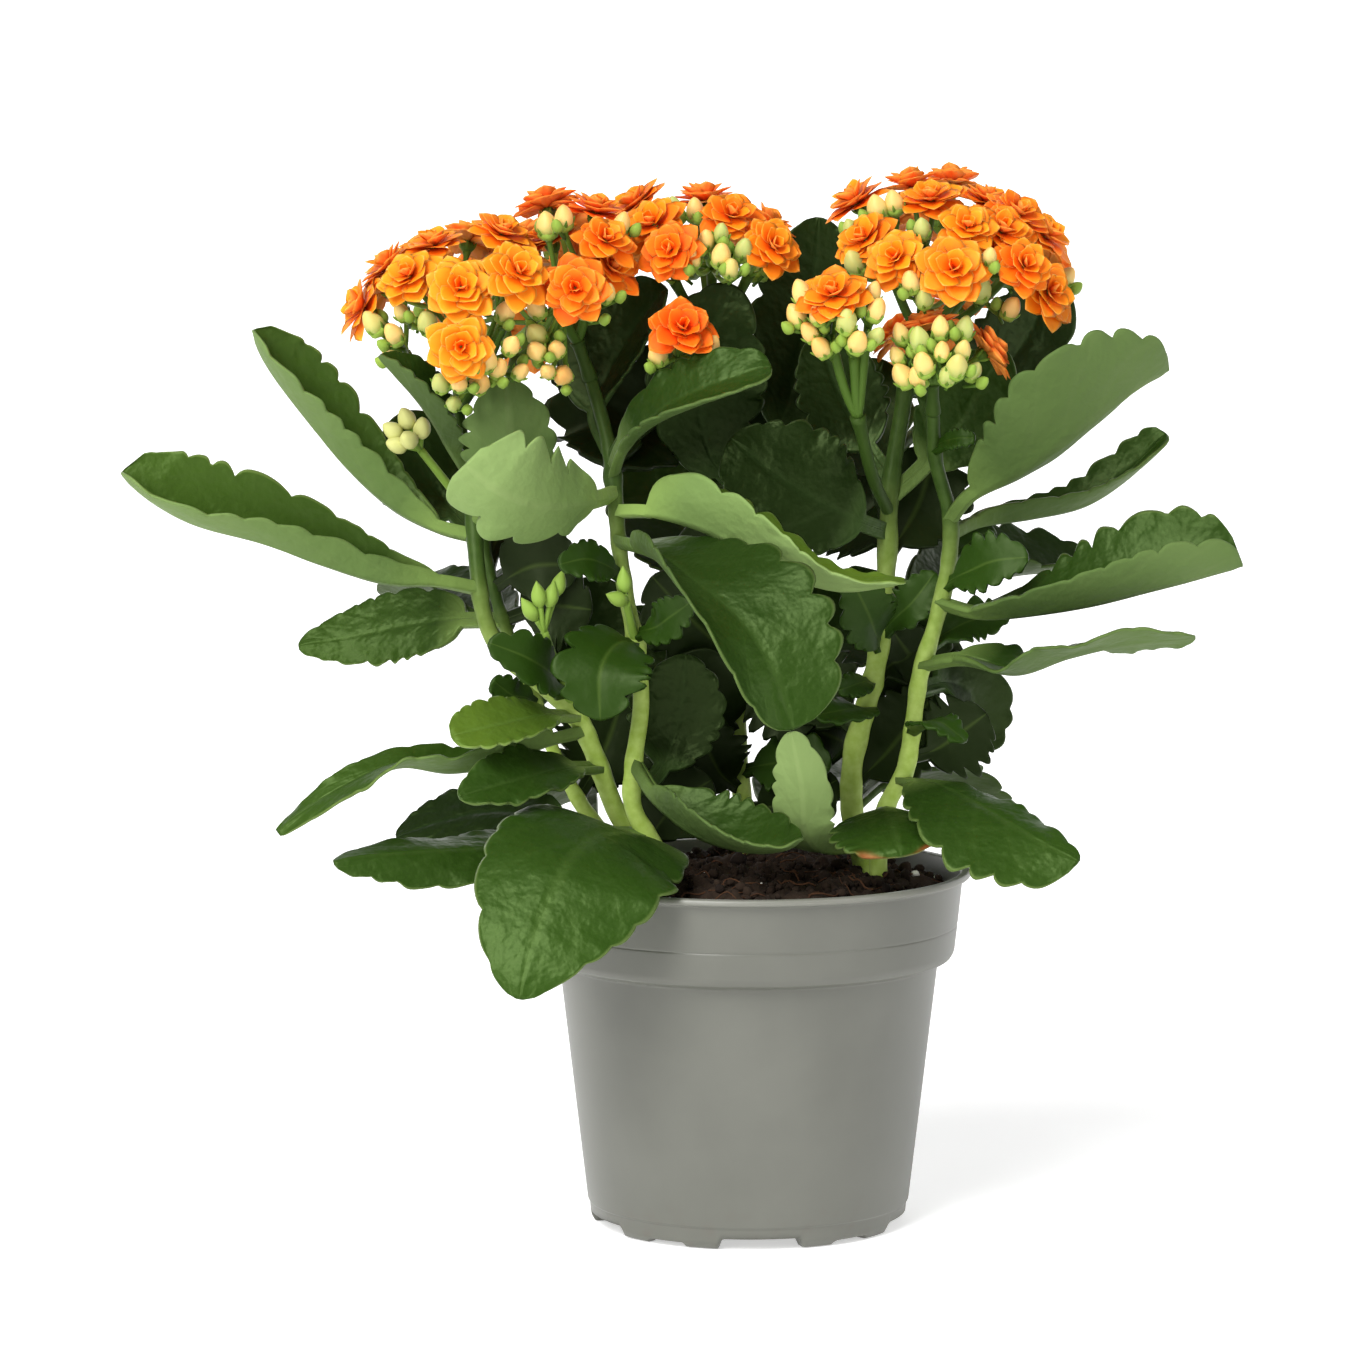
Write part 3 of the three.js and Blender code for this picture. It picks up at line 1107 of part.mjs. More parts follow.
const head = ({ stem, root, centre, stalk, forks, blooms, buds }) => {
  const curve = stemCurves[stem];
  const tops = stalk.map(seen);
  const bodies = [];
  if (root) {
    tops.unshift(onStem(stem, seen(root)));
  } else {
    const lift = curve.getTangentAt(1);
    const foot = curve.getPointAt(1).addScaledVector(lift, GAP + 0.05);
    const neck = foot.clone().addScaledVector(lift, 3);
    bodies.push(rod(foot, neck, FORK_STALK, FORK_STALK, 5, 0));
    tops.unshift(neck);
  }
  for (let k = 0; k + 1 < tops.length; k += 1) {
    bodies.push(rod(tops[k], tops[k + 1], FORK_STALK, FORK_STALK, 5));
  }
  const crotch = tops.at(-1);
  const ends = forks.map(seen);
  bodies.push(knob(crotch));
  for (const end of ends) {
    bodies.push(knob(end), rod(fromKnob(crotch, end), end, BRANCH, 0.8 * BRANCH, 3, 0));
  }
  const middle = seen(centre);
  blooms.forEach((spot, k) => {
    const at = seen(spot);
    const axis = at.clone().sub(middle).normalize();
    const size = 1 - 0.05 * (k % 3);
    bodies.push(bloom(fromKnob(nearest(at, ends), at), at, axis, size * BLOOM_RADIUS, 0.9 * k));
  });
  // The source holds every second bud, which keeps the head open enough to read
  buds.forEach((spot, k) => {
    if (k % BUD_STEP !== 0) return;
    const at = seen(spot);
    const axis = at.clone().sub(middle).normalize();
    axis.z += BUD_RISE;
    axis.normalize();
    const size = 1 - 0.08 * (k % 4);
    const base = at.clone().addScaledVector(axis, -0.5 * size * BUD_LENGTH);
    bodies.push(bud(fromKnob(nearest(at, ends), base), base, axis, size * BUD_RADIUS, size * BUD_LENGTH));
  });
  const whole = joined(bodies);
  return largest(root ? whole.subtract(stemClearance[stem]) : whole);
};

const stemWithShoots = (name) => {
  const bodies = [stemTube(name, 0)];
  for (const leaf of SMALL_LEAVES.filter(({ stem }) => stem === name)) {
    const root = onStem(name, seen(leaf.path[0]));
    const small = {
      ...leaf, path: leaf.path.slice(1), lobes: 3, stalk: 6, left: [5, 0, 10, 5], right: [5, 0, 10, 5],
    };
    bodies.push(solid(leafGeometry(small, root)));
  }
  for (const { from, to, buds } of SHOOTS.filter(({ stem }) => stem === name)) {
    const top = seen(to);
    bodies.push(rod(onStem(name, seen(from)), top, SHOOT_STALK, SHOOT_STALK, 4));
    for (const spot of buds) {
      const at = seen(spot);
      const axis = at.clone().sub(top).normalize();
      const base = at.clone().addScaledVector(axis, -0.5 * SHOOT_BUD.length);
      bodies.push(bud(top, base, axis, SHOOT_BUD.radius, SHOOT_BUD.length));
    }
  }
  return largest(joined(bodies));
};

place('pot', geometryOf(pot()), COLOURS.pot, 0.5);

let ground = soil();
for (const name of Object.keys(STEMS)) {
  ground = ground.subtract(stemClearance[name]);
}
place('soil', geometryOf(ground), COLOURS.soil, 1);

for (const name of Object.keys(STEMS)) {
  place(name, geometryOf(stemWithShoots(name)), COLOURS.stem, 0.5);
}
for (const leaf of LEAVES) {
  const colour = leaf.name.includes('rear') || leaf.name.includes('back') ? COLOURS.leafBack : COLOURS.leaf;
  place(leaf.name, geometryOf(leafOnStem(leaf)), colour, 0.45);
}
for (const item of HEADS) {
  place(item.name, geometryOf(head(item)), COLOURS.flower, 0.6);
}

export default part;
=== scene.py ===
"""Potted flaming katy: fine leaves, stems, double flowers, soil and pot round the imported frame."""
import math

import bpy
import numpy as np
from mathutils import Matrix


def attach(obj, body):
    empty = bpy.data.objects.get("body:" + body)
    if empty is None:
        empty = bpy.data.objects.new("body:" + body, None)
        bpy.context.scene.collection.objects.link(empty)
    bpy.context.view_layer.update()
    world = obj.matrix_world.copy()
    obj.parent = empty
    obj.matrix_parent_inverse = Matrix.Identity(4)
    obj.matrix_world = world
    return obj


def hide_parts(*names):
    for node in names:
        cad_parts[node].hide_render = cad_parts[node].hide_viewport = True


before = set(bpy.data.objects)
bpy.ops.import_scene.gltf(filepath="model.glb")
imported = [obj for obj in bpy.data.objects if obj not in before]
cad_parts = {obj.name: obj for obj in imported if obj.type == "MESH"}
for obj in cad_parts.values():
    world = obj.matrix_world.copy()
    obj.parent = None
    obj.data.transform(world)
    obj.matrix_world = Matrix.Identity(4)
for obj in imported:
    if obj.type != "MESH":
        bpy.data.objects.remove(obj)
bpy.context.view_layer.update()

# The pot, in millimetres
POT_SIDES = 240
LIP_RADIUS = 60
POT_HEIGHT = 96
COLLAR_TOP_RADIUS = 57.8
COLLAR_BOTTOM_RADIUS = 55.6
COLLAR_BOTTOM = 73.5
COLLAR_LINE = 81.3
COLLAR_HEIGHT = 21
BODY_TOP_RADIUS = 51.2
BODY_FOOT_RADIUS = 43.2
FOOT_LINE = 5.8
WALL = 1.6
LIP_DEPTH = 1.6
FLOOR_TOP = 5
CHANNEL_HEIGHT = 3
CENTRE_PAD_RADIUS = 14
FOOT_RING_INNER = 38.5
FOOT_PERIODS = 5
NOTCH_TURN = 4
WIDE_NOTCH = (30, 3.0)
NARROW_NOTCH = (15, 1.3)
DRAIN_HOLES = 4
DRAIN_RADIUS = 3.2
DRAIN_CIRCLE = 27

# How fine the meshes are
LEAF_ROWS = 106
SMALL_LEAF_ROWS = 44
STEM_ROWS = 110
STEM_SIDES = 20
SOIL_RINGS = 80
SOIL_SIDES = 220

# The plant and its soil, in millimetres
SOIL_EDGE = 90
SOIL_CROWN = 96
SOIL_RADIUS = COLLAR_TOP_RADIUS - WALL - 1
STALK_LENGTH = 13
SMALL_STALK_LENGTH = 6
BLADE_HALF_THICKNESS = 0.85
EDGE_HALF_THICKNESS = 0.42
EDGE_RIPPLE = 0.3
MIDRIB_WIDTH = 1.3
TOP_GROOVE = 0.35
UNDER_GROOVE = 0.55
JOINT_SWELL = 0.3
JOINT_LENGTH = 2.6
BLOOM_RADIUS = 9.8
BUD_RADIUS = 2.75
BUD_LENGTH = 7.8
YOUNG_BUD_RADIUS = 1.6
YOUNG_BUD_LENGTH = 4.4
SEPAL_RADIUS = 0.75
HEAD_STALK = 1.7
BRANCH = 1.2
PEDICEL = 0.72

# Counts of lobes on a side of a leaf, of waves in the soil's crumble, and of loose crumbs and fibres
LOBES = 7
SMALL_LOBES = 6
SOIL_WAVES = 70
CRUMBS = 900
FIBRES = 90

# How deep lobes are cut as a share of the half width, how far they lean to the tip, how round they and
# the leaf's tip are, a stem's girth at foot and top against its radius, and how far buds turn up
LOBE_DEPTH = 0.17
LOBE_LEAN = 1.3
LOBE_ROUNDNESS = 0.55
TIP_ROUNDNESS = 0.62
STEM_TAPER = (1.06, 0.74)
BUD_RISE = 0.8

# A place is written as it shows from the camera at the pot's axis, with its depth: x, z, depth. The
# view's width and focal length are in pixels, the sensor is in millimetres and the pitch in radians
EYE_X = -17.7
EYE_DISTANCE = 1470
EYE_HEIGHT = 310
EYE_PITCH = 0.111
SENSOR_WIDTH = 36
VIEW_WIDTH = 1366
VIEW_FOCUS = 5500

# The paper sweep behind the pot, in metres, its own faint glow, and how much more the camera sees
SWEEP_START = 5
SWEEP_RADIUS = 4
FLOOR_GLOW = 0.36
CAMERA_GLOW = 0.14

# Stems: each is a path of places from deep in the soil to its top, with its radius
STEMS = dict(
    stem_left=dict(
        radius=2.7, path=[
            [-27, 70, 2], [-29, 98, 2], [-36, 112, -1], [-42, 128, -3], [-47, 138, -4], [-56, 146, -5],
            [-66, 154, -6], [-71, 164, -6], [-73, 178, -3], [-74, 192, 2], [-76, 208, 4],
        ],
    ),
    stem_left_back=dict(
        radius=2, path=[
            [-33, 72, 12], [-38, 101, 12], [-45, 113, 12], [-51, 124, 12], [-56, 137, 13], [-61, 150, 14],
            [-66, 163, 15], [-70, 178, 17], [-72, 192, 20],
        ],
    ),
    stem_left_inner=dict(
        radius=2.4, path=[
            [-18, 72, -5], [-24, 98, -5], [-31, 112, -7], [-31, 124, -7], [-29, 140, -7], [-30, 155, -6],
            [-33, 170, -5], [-35, 185, -5], [-36, 197, -4], [-38, 212, 1], [-43, 230, 6],
        ],
    ),
    stem_right=dict(
        radius=2.9, path=[
            [33, 72, 2], [31, 97, 2], [28, 110, 2], [28, 125, 2], [31, 138, 2], [34, 150, 2],
            [36, 165, 4], [37, 180, 6], [38, 200, 7], [41, 220, 8], [43, 234, 8],
        ],
    ),
    stem_right_outer=dict(
        radius=2.4, path=[
            [37, 72, -8], [35, 97, -8], [37, 112, -8], [42, 122, -8], [44, 133, -8], [46, 148, -8],
            [50, 162, -8], [53, 175, -8], [54, 190, -8], [50, 206, -12], [49, 221, -19],
        ],
    ),
    stem_back=dict(
        radius=2.5, path=[
            [2, 72, 24], [0, 100, 25], [-3, 130, 27], [-2, 160, 28], [0, 190, 28], [-4, 218, 25],
            [-8, 234, 22],
        ],
    ),
)

# Fold at stalk and tip, then curl at stalk and tip, of a half blade that is nearly flat, in degrees
FLAT = [0, 0, 10, 10]

# Leaves, named by where they show. path runs from the stem to the tip, half holds the widest left and
# right half blades, left and right hold fold and curl as FLAT does, or both where the halves are alike,
# and the up vectors say where the top face looks at both ends. ends is below 1 for a leaf that is widest
# near its stalk and above 1 for one that is widest near its tip
LEAVES = [
    dict(
        name="far_left", stem="stem_left", lobes=8, ends=1.9, half=[11, 18],
        up=[[0.1, 0.3, 1], [0.5, -0.8, 0.5]], left=[60, 35, 50, 40], right=[60, 20, 45, 25],
        path=[[-72, 171, -5], [-84, 173, -10], [-98, 173.5, -14], [-115, 178.5, -17], [-131, 184.5, -20],
            [-148, 189.5, -22], [-160, 196, -23], [-168, 203, -22]],
    ),
    dict(
        name="upper_left", stem="stem_left", lobes=8, ends=1.5, half=[12, 15],
        up=[[0.5, 0.2, 0.9], [0.7, -0.6, 0.35]], left=[50, 35, 50, 30], right=[50, 30, 45, 30],
        path=[[-73, 185, 0], [-84, 188, 6], [-96, 194, 10], [-108, 205, 12], [-120, 220, 12],
            [-129, 233, 10], [-132.5, 241, 8]],
    ),
    dict(
        name="lower_left", stem="stem_left_back", lobes=8, ends=0.7, half=[10, 12],
        up=[[0, -0.6, 0.8], [-0.1, -0.75, 0.65]], left=[-5, -10, -10, -10], right=[5, 0, 10, 5],
        path=[[-66, 163, 15], [-78, 163, 22], [-92, 161.5, 26], [-106, 158.5, 28], [-121, 156, 28]],
    ),
    dict(
        name="long_left", stem="stem_left", lobes=8, ends=0.75, wave=1, half=[9, 7],
        up=[[0, -0.1, 1], [-0.4, -0.6, 0.7]], left=[75, -15, 30, -5], right=[30, 0, 40, 0],
        path=[[-43, 133, -4], [-54, 130, -13], [-66, 125, -20], [-80, 122.5, -26], [-95, 124, -31],
            [-110, 117.5, -35], [-120, 111, -37], [-127, 105.5, -38]],
    ),
    dict(
        name="small_left", stem="stem_left", wave=1, half=[9, 10], up=[[0, -0.5, 0.9], [0, -0.8, 0.6]],
        left=[5, 5, 10, 10], right=[10, 10, 10, 10],
        path=[[-41, 122.5, -3], [-51, 122.5, -20], [-65, 119, -34], [-78, 115, -42]],
    ),
    dict(
        name="low_left", stem="stem_left_inner", lobes=8, ends=0.9, wave=1, half=[12, 10],
        up=[[0, -0.4, 0.9], [-0.1, -0.5, 0.85]], left=[-5, -35, -5, -10], right=[-10, -5, 0, 0],
        path=[[-28, 105.5, -6], [-42, 105.5, -12], [-56, 103, -17], [-72, 101, -24], [-88, 100, -30],
            [-101, 99, -34], [-112, 97.5, -37]],
    ),
    dict(
        name="low_left_back", stem="stem_left_back", ends=0.9, half=[12, 13],
        up=[[0, -0.3, 1], [0, -0.4, 0.95]], left=[-15, -10, -10, -10], right=[10, 10, 10, 10],
        path=[[-41, 106, 12], [-54, 109, 20], [-68, 111, 26], [-82, 108.5, 28], [-95, 104, 28]],
    ),
    dict(
        name="front_left", stem="stem_left_inner", lobes=8, ends=0.85, wave=1, half=[27, 23],
        up=[[0, -0.35, 1], [-0.15, -1, 0.1]], left=[-3, 0, -14, -5], right=[0, 0, -10, -5],
        path=[[-24, 100.5, -9], [-31, 104.5, -26], [-41, 104.5, -43], [-49.5, 96, -60], [-56, 82, -70],
            [-60, 70, -76], [-62, 60, -79]],
    ),
    dict(
        name="pale_front", stem="stem_left_inner", lobes=8, ends=1.7, wave=1, stalk=8, half=[17, 14],
        up=[[0.1, 1, 0.15], [0.25, 1, 0]], left=[0, 5, 15, 20], right=[5, 5, 20, 25],
        path=[[-36, 197.5, -4], [-44, 195, -20], [-55, 194, -34], [-66, 197.5, -44], [-76, 205, -50]],
    ),
    dict(
        name="pale_right", stem="stem_left_inner", lobes=8, ends=0.62, half=[15, 15],
        up=[[0.1, 0.1, 1], [0, -0.05, 1]], left=[40, 15, 20, 10], right=[70, 5, 35, 0],
        path=[[-35.5, 191.5, -4], [-26, 191.5, -15], [-13, 188, -23], [2, 181, -28], [12, 175.5, -30],
            [25, 172, -31], [42, 173.5, -30]],
    ),
    dict(
        name="back_left", stem="stem_left_inner", half=[18, 9], up=[[-0.2, -1, 0.1], [-0.3, -0.9, 0.4]],
        left=[-5, 0, 5, 5], right=[20, 10, 60, 30],
        path=[[-38, 209, 0], [-41, 219, 7], [-36.5, 231, 11], [-30, 242, 11], [-22, 252, 6]],
    ),
    dict(
        name="centre", stem="stem_left_inner", ends=1.5, half=[11, 12],
        up=[[-0.6, -0.8, 0.3], [-0.2, -0.75, 0.65]], left=[5, 0, 5, 10], right=[10, 0, 110, 50],
        path=[[-36.5, 202.5, -3], [-33.5, 210, -12], [-25, 218.5, -20], [-13, 225, -26], [0, 229.5, -29],
            [6, 231, -29]],
    ),
    dict(
        name="dark_centre", stem="stem_right", lobes=8, ends=1.1, wave=1, half=[17, 17],
        up=[[0, -1, 0.2], [0.1, -1, 0.15]], left=[0, 0, 10, 5], right=[0, 0, 5, 5],
        path=[[37, 187, 5], [29, 190, -4], [17, 196, -8], [5, 204, -8], [-5, 212, -6]],
    ),
    dict(
        name="back_centre", stem="stem_back", ends=1.1, half=[16, 15],
        up=[[0.2, -1, 0.2], [0, -1, 0.35]],
        both=[0, 0, 15, 15],
        path=[[-2, 206, 27], [8, 216, 30], [13, 233, 33], [17, 253, 34], [18.5, 271, 32]],
    ),
    dict(
        name="behind_middle", stem="stem_back", ends=1.1, half=[14, 17],
        up=[[-0.1, -1, 0.1], [0, -1, 0.3]],
        path=[[-1, 196, 28], [-10, 207, 18], [-13, 223, 12], [-10, 240, 8], [-4, 253, 6]],
    ),
    dict(
        name="behind_right", stem="stem_right", half=[12, 13], up=[[0, -1, 0.2], [0, -1, 0.4]],
        path=[[38, 201, 7], [31, 211, 16], [24, 224, 18], [18, 240, 18]],
    ),
    dict(
        name="front_centre", stem="stem_left_inner", lobes=8, ends=1.35, half=[23, 16],
        up=[[0.1, -0.3, 1], [0.1, -1, 0.2]], left=[5, 0, 10, 10], right=[20, 5, 95, 30],
        path=[[-34.5, 184.5, -5], [-26, 181.5, -25], [-14, 173, -44], [-1, 161.5, -56], [7, 148, -62],
            [12, 133.5, -65]],
    ),
    dict(
        name="right_upper", stem="stem_right_outer", lobes=8, ends=1.1, wave=1, half=[12, 25],
        up=[[-0.3, 0.9, 0.4], [-0.2, 0.7, 0.8]], left=[20, 10, 60, 40], right=[0, 0, 15, 25],
        path=[[54, 190, -8], [60, 197, -15], [72, 203, -19], [84, 211, -20], [95, 220, -18],
            [104, 226.5, -14], [112, 230.5, -9]],
    ),
    dict(
        name="right_grey", stem="stem_right_outer", lobes=8, ends=2.2, half=[8, 9],
        up=[[-0.1, 0.2, 1], [-0.6, -0.7, 0.5]], left=[40, 20, 30, 20], right=[40, 20, 40, 30],
        path=[[53, 186, -8], [62, 189.5, 4], [76, 191.5, 10], [90, 195, 14], [102, 203, 16],
            [112, 213, 16]],
    ),
    dict(
        name="far_right", stem="stem_right_outer", lobes=8, ends=1.7, half=[22, 15],
        up=[[0, 0.1, 1], [-0.3, -0.4, 0.9]], left=[15, 45, 20, 20], right=[15, 60, 20, 45],
        path=[[51, 168, -8], [62, 165, -18], [76, 165.5, -25], [92, 168, -29], [108, 172, -31],
            [122, 175.5, -32], [132.5, 178, -32]],
    ),
    dict(
        name="wavy_right", stem="stem_right_outer", lobes=8, wave=1.5, half=[13, 13],
        up=[[0, -0.3, 1], [0, 0.75, 0.7]], left=[25, 10, 15, 0], right=[10, -25, 10, 0],
        path=[[46.5, 151, -8], [58, 152.5, -18], [72, 149.5, -25], [86, 154, -30], [102, 157.5, -33],
            [120, 158.5, -34]],
    ),
    dict(
        name="right_low_back", stem="stem_right_outer", half=[11, 13],
        up=[[0.1, -0.8, 0.7], [0.3, -1, -0.1]], both=[0, 0, 15, 15],
        path=[[45, 144, -8], [53, 146, 6], [60, 143, 14], [61, 134, 19], [56, 126, 20]],
    ),
    dict(
        name="front_right", stem="stem_right_outer", lobes=8, ends=1.1, wave=1, half=[9, 21],
        up=[[0.1, -0.4, 1], [0.2, -0.9, 0.4]], left=[-5, -15, -15, -10], right=[5, 0, 5, 0],
        path=[[41, 120, -8], [50, 118.5, -24], [60, 114, -36], [70, 108, -46], [80, 102, -53],
            [89, 97.5, -57]],
    ),
    dict(
        name="centre_low", stem="stem_left_inner", lobes=8, ends=1.15, half=[15, 12],
        up=[[0.35, -0.2, 0.9], [0, -0.5, 0.9]], left=[35, 10, 25, 20], right=[55, 20, 40, 20],
        path=[[-31, 124, -7], [-25, 115, -18], [-15, 106, -28], [-2, 101.5, -36], [9, 101.5, -42],
            [14.5, 104, -45]],
    ),
    dict(
        name="upright_pale", stem="stem_right", ends=1.1, half=[8, 9], up=[[0.2, 0.5, 0.8], [0.2, 1, 0]],
        left=[10, 5, 10, 10], right=[0, 0, 20, 20],
        path=[[30, 102, 2], [20, 101.5, -14], [15.5, 106, -22], [14.5, 118, -24], [11.5, 133, -24]],
    ),
    dict(
        name="on_soil", stem="stem_right_outer", lobes=8, ends=1.2, half=[18, 17],
        up=[[0, -0.3, 1], [0, -0.75, 0.7]], both=[-5, -5, -10, 0],
        path=[[37, 112, -8], [37.5, 111.5, -21], [38.5, 108, -34], [40, 102.5, -43], [41, 99, -46]],
    ),
    dict(
        name="back_far_right", stem="stem_right", half=[14, 13], up=[[0.1, -0.9, 0.5], [0.3, -1, 0.2]],
        left=[5, 5, 15, 15], right=[0, 0, 15, 10],
        path=[[42, 225, 8], [56, 225, 24], [68, 231, 35], [76, 243, 43], [82.5, 260, 47]],
    ),
    dict(
        name="right_inner", stem="stem_right", half=[13, 12], up=[[0.1, -1, 0.4], [0.1, -1, 0.3]],
        path=[[38, 196, 7], [47, 205, 8], [57, 218, 8], [68, 236, 7]],
    ),
    dict(
        name="left_inner", stem="stem_left_back", half=[15, 15], up=[[0.2, -1, 0.3], [0.2, -1, 0.3]],
        path=[[-71, 184, 18], [-79, 192, 26], [-87, 204, 30], [-93, 219, 30]],
    ),
    dict(
        name="left_upright", stem="stem_left", lobes=8, ends=1.1, half=[13, 14],
        up=[[0, 1, 0.2], [0, 1, -0.1]], left=[15, 20, 10, 10], right=[10, 10, 15, 10],
        path=[[-73, 190, 2], [-65, 192, -10], [-63.5, 203, -15], [-64, 215, -17], [-65, 228, -15]],
    ),
    dict(
        name="thin_left", stem="stem_left", half=[7, 12], up=[[0.6, -0.5, 0.6], [0.7, -0.5, 0.5]],
        left=[60, 60, 30, 20], right=[10, 10, 15, 15],
        path=[[-75.5, 203, 3], [-81, 212, -10], [-87, 221, -18], [-93, 228, -22], [-99, 234, -23]],
    ),
    dict(
        name="rear_low", stem="stem_back", wave=1, half=[19, 19], up=[[0, -0.3, 1], [0, -0.3, 0.9]],
        both=[10, 5, 5, 5],
        path=[[0, 108, 25], [9, 114, 40], [19, 119, 54], [31, 121, 66], [43, 118, 76]],
    ),
    dict(
        name="rear_left", stem="stem_back", wave=1, half=[20, 20],
        up=[[0.3, -0.7, 0.7], [0.2, -0.9, 0.4]],
        both=[15, 5, 15, 10],
        path=[[-3, 128, 27], [-13, 136, 40], [-25, 146, 50], [-37, 156, 57], [-46, 167, 62]],
    ),
    dict(
        name="rear_right", stem="stem_back", wave=1, half=[20, 20],
        up=[[-0.3, -0.7, 0.7], [-0.2, -0.9, 0.4]], both=[15, 5, 15, 10],
        path=[[-3, 138, 27], [8, 146, 40], [18, 156, 50], [30, 165, 57], [40, 174, 62]],
    ),
    dict(
        name="rear_middle", stem="stem_back", wave=1, half=[20, 20],
        up=[[0.1, -0.7, 0.7], [0.1, -0.9, 0.4]], both=[15, 5, 15, 10],
        path=[[-1, 166, 28], [-9, 174, 44], [-17, 186, 56], [-24, 199, 64], [-29, 212, 68]],
    ),
    dict(
        name="rear_upper", stem="stem_back", wave=1, half=[20, 20], up=[[0, -0.7, 0.7], [0, -0.9, 0.4]],
        both=[15, 5, 15, 10],
        path=[[0, 184, 28], [11, 194, 42], [21, 206, 54], [30, 219, 62], [36, 233, 66]],
    ),
    dict(
        name="rear_far_left", stem="stem_left_back", wave=1, half=[16, 16],
        up=[[0, -0.1, 1], [-0.2, 0.2, 1]], both=[30, 15, 30, 15],
        path=[[-62, 153, 14], [-68, 160, 30], [-76, 166, 46], [-87, 170, 60], [-98, 170, 72]],
    ),
    dict(
        name="rear_far_right", stem="stem_right", wave=1, half=[17, 17],
        up=[[0, -0.4, 1], [0.2, -0.3, 1]],
        both=[30, 15, 30, 15],
        path=[[36, 168, 4], [50, 172, 22], [64, 175, 38], [80, 177, 50], [97, 175, 58]],
    ),
    dict(
        name="rear_low_left", stem="stem_left_back", wave=1, half=[14, 14],
        up=[[0, 0.2, 1], [-0.4, 0.6, 0.6]], both=[10, 5, 5, 5],
        path=[[-43, 110, 12], [-44, 118, 28], [-50, 119, 42], [-58, 112, 56], [-64, 100, 66]],
    ),
    dict(
        name="rear_low_right", stem="stem_right", wave=1, half=[16, 16],
        up=[[0, 0.2, 1], [0.4, 0.6, 0.6]],
        both=[10, 5, 5, 5],
        path=[[28, 112, 2], [38, 120, 18], [49, 120, 34], [60, 112, 48], [70, 99, 58]],
    ),
    dict(
        name="pale_left", stem="stem_left", ends=1.5, stalk=9, half=[8, 9],
        up=[[0, -0.6, 0.9], [0, -0.8, 0.6]], both=[5, 5, 10, 10],
        path=[[-46, 137, -4], [-56, 137, -20], [-68, 134.5, -30], [-80, 131.5, -36]],
    ),
    dict(
        name="behind_left", stem="stem_left_back", half=[16, 16], up=[[0, -1, 0.3], [0, -1, 0.3]],
        path=[[-58, 141, 14], [-50, 149, 24], [-43, 160, 30], [-37, 174, 33]],
    ),
    dict(
        name="behind_low", stem="stem_left_inner", half=[14, 12], up=[[0, -1, 0.3], [0, -1, 0.3]],
        path=[[-31, 117, -7], [-25, 121, -1], [-21, 129, 3], [-18, 141, 3], [-17, 154, 2]],
    ),
]

# Up vectors of small leaves that lean out, and of dark ones that stand upright in the middle, painted near
# black as shade
LEANING = [[0, -0.8, 0.6], [0, -1, 0.3]]
UPRIGHT = [[0, -1, 0.1], [0, -1, 0]]

